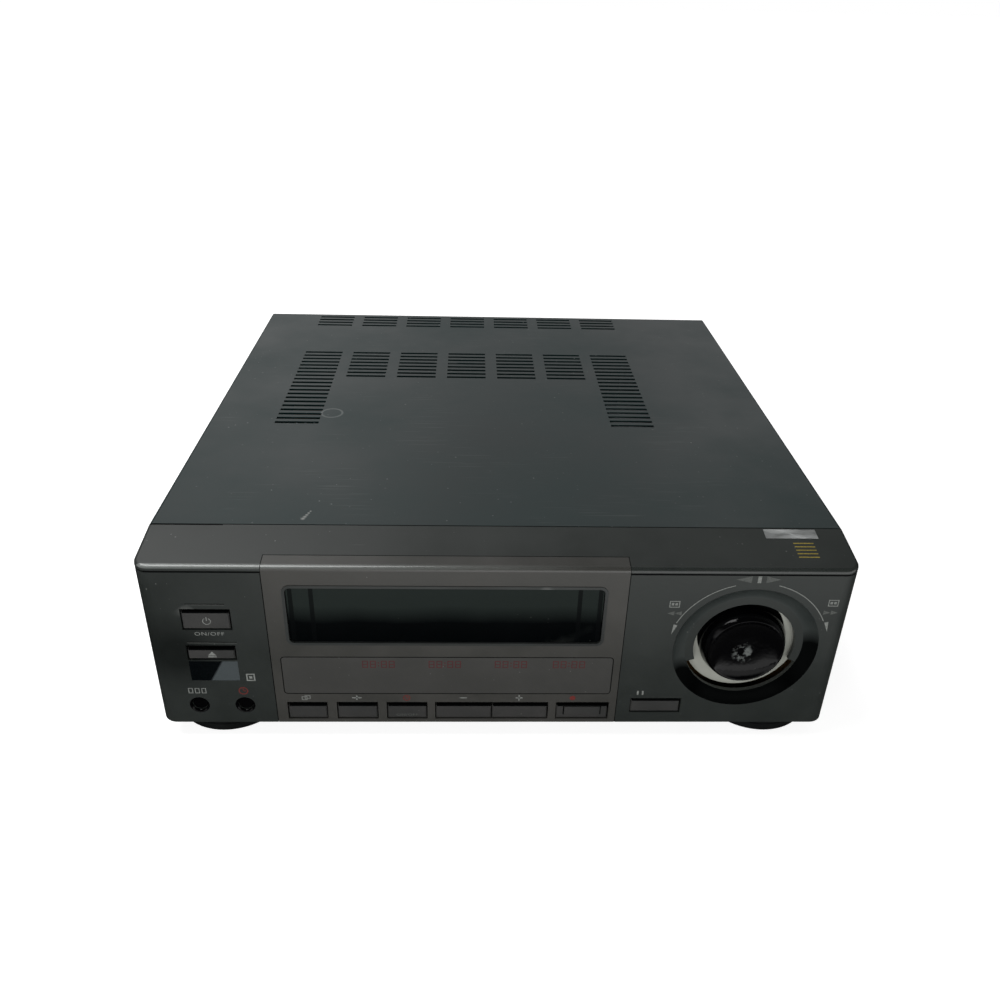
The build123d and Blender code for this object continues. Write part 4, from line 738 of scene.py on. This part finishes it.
# Printed marks round the dial
mark = {
    "radius": 41.2, "wide": 0.45, "arcs": ((105.5, 156.2), (26.3, 75.1)), "playZ": 93.4,
    "heads": (((87.1, 59.5), 256.0), ((166.7, 61.5), 284.0)), "headSize": (6.2, 2.1),
    "doubles": ((83.5, 72.7, 180), (169.8, 73.5, 0)), "reels": ((86.7, 78.3), (166.5, 79.4)),
}
plates = []
for ends in mark["arcs"]:
    plates += arcStrip((dial["x"], dial["z"]), mark["radius"], mark["wide"], *ends)
plates += [arrow(tip, way, *mark["headSize"]) for tip, way in mark["heads"]]  # at the arcs' lower ends
frontPlates("dialArcMarks", plates, legendInk)
top = mark["playZ"]
plates = [arrow((115.1, top), 180, 8.0, 4.0), arrow((137.6, top), 0, 7.2, 4.0)]
for x, z, way in mark["doubles"]:  # faint double arrows beyond the arcs' ends
    plates += [arrow((tip, z), way, 3.6, 2.6) for tip in (x, x - 3.7 * math.cos(math.radians(way)))]
frontPlates("dialPlayMarks", plates, faintInk)
plates = [bar(126.0, 127.8, top - 2.0, top + 2.0)]
for x, z in mark["reels"]:  # two reels in a box
    plates += frameOf(x - 2.6, x + 2.6, z - 2.0, z + 2.0, 0.45)
    plates += [bar(x - 1.6, x - 0.3, z - 0.7, z + 0.7), bar(x + 0.3, x + 1.6, z - 0.7, z + 0.7)]
frontPlates("dialBoxedMarks", plates, legendInk)
print("stage: shuttle dial")

# Symbols on and beside the left buttons
symbol = {
    "middle": -145.4, "powerZ": 66.6, "ejectZ": 45.1, "clock": (-132.3, 21.6),
    "noughtX": (-159.4, -156.0, -152.6), "scores": ((-154.5, -135.4, 76.8), (-156.8, -132.0, 53.2)),
}
middle, z = symbol["middle"], symbol["powerZ"]
plates = arcStrip((middle, z - 0.3), 1.9, 0.42, 118.0, 422.0, 30)
plates.append(bar(middle - 0.22, middle + 0.22, z, z + 2.3))
frontPlates("powerMark", plates, legendInk, shade["capY"], body="power_button")
z = symbol["ejectZ"]
plates = [[(middle - 2.1, z - 0.4), (middle + 2.1, z - 0.4), (middle, z + 2.0)]]
plates.append(bar(middle - 2.1, middle + 2.1, z - 1.6, z - 0.9))
frontPlates("ejectMark", plates, legendInk, shade["capY"], body="eject_button")
# Painted shade along the top wall of a shallow score over each of the two buttons
dark = [bar(x0, x1, z, z + 0.5) for x0, x1, z in symbol["scores"]]  # scored lines over the two buttons
frontPlates("buttonScoreLines", dark, shadowBlack)
# Painted highlight along the score's lower lip
light = [bar(x0, x1, z - 0.3, z) for x0, x1, z in symbol["scores"]]
frontPlates("buttonScoreLights", light, faintInk)


def onOff(name, x, z, high, depth, material, body):  # the words ON/OFF in a plain built-in face
    words = bpy.data.curves.new(name, "FONT")
    words.body = "ON/OFF"
    words.size = high / 1000 * 1.38
    words.space_character = 1.12
    words.align_x = "CENTER"
    words.extrude = 0.00002
    maker = bpy.data.objects.new(name + "Maker", words)
    scene.collection.objects.link(maker)
    bpy.context.view_layer.update()
    mesh = bpy.data.meshes.new_from_object(maker.evaluated_get(bpy.context.evaluated_depsgraph_get()))
    bpy.data.objects.remove(maker)
    upright = Matrix.Translation(place(x, depth - 0.02, z)) @ Matrix.Rotation(math.radians(90), 4, "X")
    mesh.transform(upright @ Matrix.Diagonal((1.25, 1, 1, 1)))
    mesh.materials.clear()
    mesh.materials.append(material)
    piece = bpy.data.objects.new(name, mesh)
    scene.collection.objects.link(piece)
    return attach(piece, body)


onOff("onOffLegend", -144.9, 57.8, 2.2, 0.0, legendInk, "case")
onOff("timerOnOffLegend", -47.8, 4.0, 1.7, shade["capY"], faintInk, "timer_record_button")
x, z = symbol["clock"]
hands = [bar(x - 0.2, x + 0.2, z, z + 1.5), bar(x, x + 1.2, z - 0.3, z + 0.2)]
frontPlates("timerClockMark", arcStrip((x, z), 2.2, 0.5, 0.0, 360.0, 30) + hands, redInk)
plates = []
for x in symbol["noughtX"]:  # three noughts of a counter
    plates += frameOf(x - 1.2, x + 1.2, 19.9, 23.4, 0.42)
frontPlates("counterNoughts", plates, legendInk)
plates = frameOf(-129.8, -125.3, 28.3, 33.1, 0.7) + [bar(-128.4, -126.7, 29.9, 31.5)]
frontPlates("sensorMark", plates, legendInk)  # a target beside the sensor

# Glossy collars of the two round buttons, sunk in their countersinks
collar = {"x": (-156.0, -132.3), "z": 12.0, "outer": 5.15, "inner": 3.95, "deep": 1.3, "flare": 2.2}
shares = [i / 8 for i in range(9)]
inward = collar["outer"] - collar["inner"]
profile = [(collar["outer"] - inward * t, collar["deep"] * t ** collar["flare"] - 0.02) for t in shares]
profile.append((collar["inner"], collar["deep"] + 1.0))
spots = [(x, 0.0, collar["z"]) for x in collar["x"]]
turnedPiece("roundButtonCollars", profile, spots, 48, knobGloss, **softSkin)

# Symbols over the row of buttons
row = {"z": 16.4, "clockX": -47.8, "dot": (39.6, 1.5), "pauseX": (73.5, 76.1), "pauseZ": (19.1, 21.9)}
z = row["z"]
plates = frameOf(-102.6, -99.6, z - 1.0, z + 1.4, 0.4) + frameOf(-101.0, -98.0, z - 0.2, z + 2.2, 0.4)
plates += [bar(-76.4, -71.4, z + 0.2, z + 0.9), bar(-74.3, -73.5, z - 0.9, z + 2.0)]
plates += [bar(-20.0, -16.2, z + 0.2, z + 0.9)]
plates += [bar(9.4, 13.2, z + 0.2, z + 0.9), bar(10.95, 11.65, z - 1.35, z + 2.45)]
frontPlates("rowLegends", plates, legendInk)
x, r = row["dot"]
turns = [math.radians(a) for a in range(0, 360, 15)]
plates = [[(x + r * math.cos(a), z + 0.5 + r * math.sin(a)) for a in turns]]
x = row["clockX"]
plates += arcStrip((x, z + 0.5), 1.7, 0.4, 0.0, 360.0, 24)
plates += [bar(x - 0.2, x + 0.2, z + 0.5, z + 1.8), bar(x, x + 1.0, z + 0.3, z + 0.7)]
frontPlates("recordMarks", plates, redInk)
frontPlates("pauseMark", [bar(x, x + 0.9, *row["pauseZ"]) for x in row["pauseX"]], legendInk)

# Outline of the display window, in its seam with the panel
outline = {"box": (-110.9, 58.9, 20.1, 43.9), "radius": 1.6, "wide": 0.5, "thick": 0.02}
ring = roundedRing(*outline["box"], outline["radius"], outline["wide"])
frontPlates("displaySeamLine", ring, shadowBlack, thick=outline["thick"])

# Unlit segments of the clock and counter, faint behind the display's smoked window
segment = {
    "high": 4.6, "wide": 3.0, "line": 0.5, "z": 37.2, "thick": 0.02, "groups": (-70.0, -36.0, -2.0, 28.0),
    "digits": (0.0, 4.0, 9.6, 13.6), "dot": 0.7, "dotX": (-62.0, -28.0, 6.0, 36.0), "dotRise": (1.0, 2.9),
}
low, high, wide, line = segment["z"], segment["z"] + segment["high"], segment["wide"], segment["line"]
plates = []
for x in [group + step for group in segment["groups"] for step in segment["digits"]]:
    plates += frameOf(x, x + wide, low, high, line)
    plates.append(bar(x + line, x + wide - line, (low + high - line) / 2, (low + high + line) / 2))
for x in segment["dotX"]:
    for z in [low + rise for rise in segment["dotRise"]]:
        plates.append(bar(x, x + segment["dot"], z, z + segment["dot"]))
frontPlates("unlitSegments", plates, dullRedInk, thick=segment["thick"])
print("stage: printed marks")


def boxesPiece(name, boxes, material):  # each box as its near four corners and then its far four
    points, faces = [], []
    for corners in boxes:
        faces += prismFaces(len(points), 4)
        points += corners
    return meshPiece(name, points, faces, material)


# Plates lying on the sloped top: a bare metal strip, plain gold pinstripes and the dark of two seams
def slopePlates(name, boxes, lift, material):
    corners = [[slopePoint(x, y, height) for height in (lift, -0.05) for x, y in bar(*box)] for box in boxes]
    return boxesPiece(name, corners, material)


trim = {
    "strip": [(135.3, 162.2, 24.0, 31.0)], "stripLift": 0.12, "seamLift": 0.02, "stripeLift": 0.03,
    "stripes": 5, "stripeX": (148.2, 158.6), "firstY": 9.6, "pitchY": 2.6, "stripeWide": 0.7,
    "panelSeam": [(-116.3, 63.3, 9.0, 9.4), (-116.3, -115.9, 2.4, 9.0), (62.9, 63.3, 2.4, 9.0)],
    "coverSeam": [(-176.0, -140.0, 31.3, 32.18), (-140.0, 176.0, 31.85, 32.18)],
}
slopePlates("bareMetalStrip", trim["strip"], trim["stripLift"], brushedPlate)
starts = [trim["firstY"] + i * trim["pitchY"] for i in range(trim["stripes"])]
stripes = [(*trim["stripeX"], y, y + trim["stripeWide"]) for y in starts]
slopePlates("goldPinstripes", stripes, trim["stripeLift"], goldInk)
slopePlates("panelTopSeam", trim["panelSeam"], trim["seamLift"], shadowBlack)
slopePlates("coverSeamShadow", trim["coverSeam"], trim["seamLift"], shadowBlack)

# Turned feet with a stepped skirt, and a rubber pad let into each
foot = {"x": 147.0, "front": 33.0, "back": 328.3, "radius": 29.9, "high": 9.6, "padRadius": 21.0}
spots = [(side * foot["x"], y, -foot["high"]) for side in (-1, 1) for y in (foot["front"], foot["back"])]
r, pad = foot["radius"], foot["padRadius"]
profile = [(0.0, 0.9), (pad + 0.8, 0.9), (pad + 0.8, 0.1), (r - 1.2, 0.1), (r - 0.4, 0.5), (r, 1.3), (r, 4.8)]
profile += [(r - 0.5, 5.0), (r - 0.5, 5.7), (r, 5.9), (r, foot["high"]), (0.0, foot["high"])]
shell = turnedPiece("turnedFeet", profile, spots, 72, footStyrene, "foot_plastic", "z")
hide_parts("feet")
profile = [(0.0, 0.0), (pad - 0.5, 0.0), (pad, 0.3), (pad, 1.2), (0.0, 1.2)]
turnedPiece("footPads", profile, spots, 48, tyreRubber, "tyre_rubber", "z")


# Pan-head screws with a cross recess, seen from the back: a domed ring, and a cross cut into its middle
def rearScrews(name, spots, radius):
    points, faces = [], []
    arm, reach, y = radius * 0.16, radius * 0.55, case["rearFace"]
    corner = [(arm, arm), (arm, reach), (-arm, reach)]  # a quarter of the cross, turned for the others
    cross = []
    for quarter in range(4):
        cross += corner
        corner = [(-b, a) for a, b in corner]
    turns = [math.atan2(b, a) for a, b in cross]
    head = ((1.0, 0.0), (1.0, 0.5), (0.9, 0.95), (0.72, 1.2))  # shares of the radius, with heights
    for x, z in spots:
        start = len(points)
        rings = []
        for share, rise in head:
            r = radius * share
            rings.append([(x + r * math.cos(t), y + rise, z + r * math.sin(t)) for t in turns])
        rings += [[(x + a, y + rise, z + b) for a, b in cross] for rise in (1.25, 0.5)]
        for ring in rings:
            points += [place(*p) for p in ring]
        for level in range(len(rings) - 1):
            faces += [[a, b, b + 12, a + 12] for a, b in sidePairs(start + level * 12, 12)]
        faces.append([start + (len(rings) - 1) * 12 + i for i in range(12)])
    piece = meshPiece(name, points, faces, blackZinc)
    rounding = piece.modifiers.new("roundedHead", "SUBSURF")
    rounding.levels = rounding.render_levels = 1


screw = {"panelX": (-170.0, -60.0, 60.0, 170.0), "panelZ": (94.0, 8.0), "jack": [(86.5, 63.5), (137.5, 38.0)]}
rearScrews("rearPanelScrews", [(x, z) for x in screw["panelX"] for z in screw["panelZ"]], 3.2)
rearScrews("jackScrew", screw["jack"], 2.4)


def rearPlates(name, boxes, thick, material):  # boxes that stand out from the rear panel
    depths = (case["rearFace"] - 0.05, case["rearFace"] + thick)
    corners = [[place(x, y, z) for y in depths for x, z in bar(*box)] for box in boxes]
    piece = boxesPiece(name, corners, material)
    edge = piece.modifiers.new("softEdges", "BEVEL")
    edge.width = 0.0002
    edge.segments = 2


rearPlates("bareRearPlate", [(-60.0, 20.0, 26.0, 62.0)], 0.3, brushedPlate)
ribs = [(-120.0, -72.0, 70.0 + 4.0 * i, 71.4 + 4.0 * i) for i in range(5)]
rearPlates("rearRibs", ribs, 0.8, enamel)

# Phono jacks: plated barrels with a coloured collar at the root and a white core with its bore
jack = {"x": (79.0, 94.0), "z": (34.0, 49.0), "bore": 1.6, "end": 9.04}
spots = [(x, case["rearFace"], z) for x in jack["x"] for z in jack["z"]]
profile = [(5.9, 0.0), (5.9, 1.0), (5.6, 1.3), (4.6, 1.3), (4.4, 1.0)]
colours = (yellowPlastic, yellowPlastic, whiteAcetal, redPlastic)
for i, spot in enumerate(spots):
    turnedPiece("jackCollar" + str(i + 1), profile, [spot], 40, colours[i], "white_plastic")
bore, end = jack["bore"], jack["end"]
profile = [(4.2, 0.4), (4.2, 8.6), (4.0, 9.02), (3.3, 9.02)]
turnedPiece("jackBarrels", profile, spots, 48, nickel, "zinc_sheet")
profile = [(3.3, 9.02), (bore + 0.1, end), (bore, end)]
turnedPiece("jackCores", profile, spots, 40, whiteAcetal, "white_plastic")
# Each bore is a flat black disc on the core's face: painted shade where the hole goes in
turnedPiece("jackBoreShades", [(bore, end), (0.0, end)], spots, 24, shadowBlack, "inner_plastic")

# Aerial connectors: rolled threads on the barrels, a hex root and an insulated centre
aerial = {"x": (126.5, 148.5), "z": 50.0, "valley": 4.75, "crest": 5.05, "bore": 0.9, "end": 10.99}
spots = [(x, case["rearFace"], aerial["z"]) for x in aerial["x"]]
profile = []
for i in range(9):  # 32 threads to the inch drawn at 1 mm pitch so that they show
    profile += [(aerial["valley"], 2.2 + i), (aerial["crest"], 2.2 + i + 0.5)]
profile.append((aerial["valley"], 10.9))
turnedPiece("aerialThreads", profile, spots, 48, nickel, "zinc_sheet", smoothAngle=20.0)
profile = [(4.7, 2.0), (6.3, 2.0), (6.6, 1.7), (6.6, 0.3), (6.3, 0.0)]
turnedPiece("aerialNuts", profile, spots, 6, nickel, "zinc_sheet", smoothAngle=10.0)
bore, end = aerial["bore"], aerial["end"]
turnedPiece("aerialCores", [(3.9, 10.98), (3.7, end), (bore, end)], spots, 40, whiteAcetal, "white_plastic")
# Each bore is a flat black disc on the core's face: painted shade where the hole goes in
turnedPiece("aerialBoreShades", [(bore, end), (0.0, end)], spots, 16, shadowBlack, "inner_plastic")
print("stage: feet, rear panel and connectors")

print("stage: done")
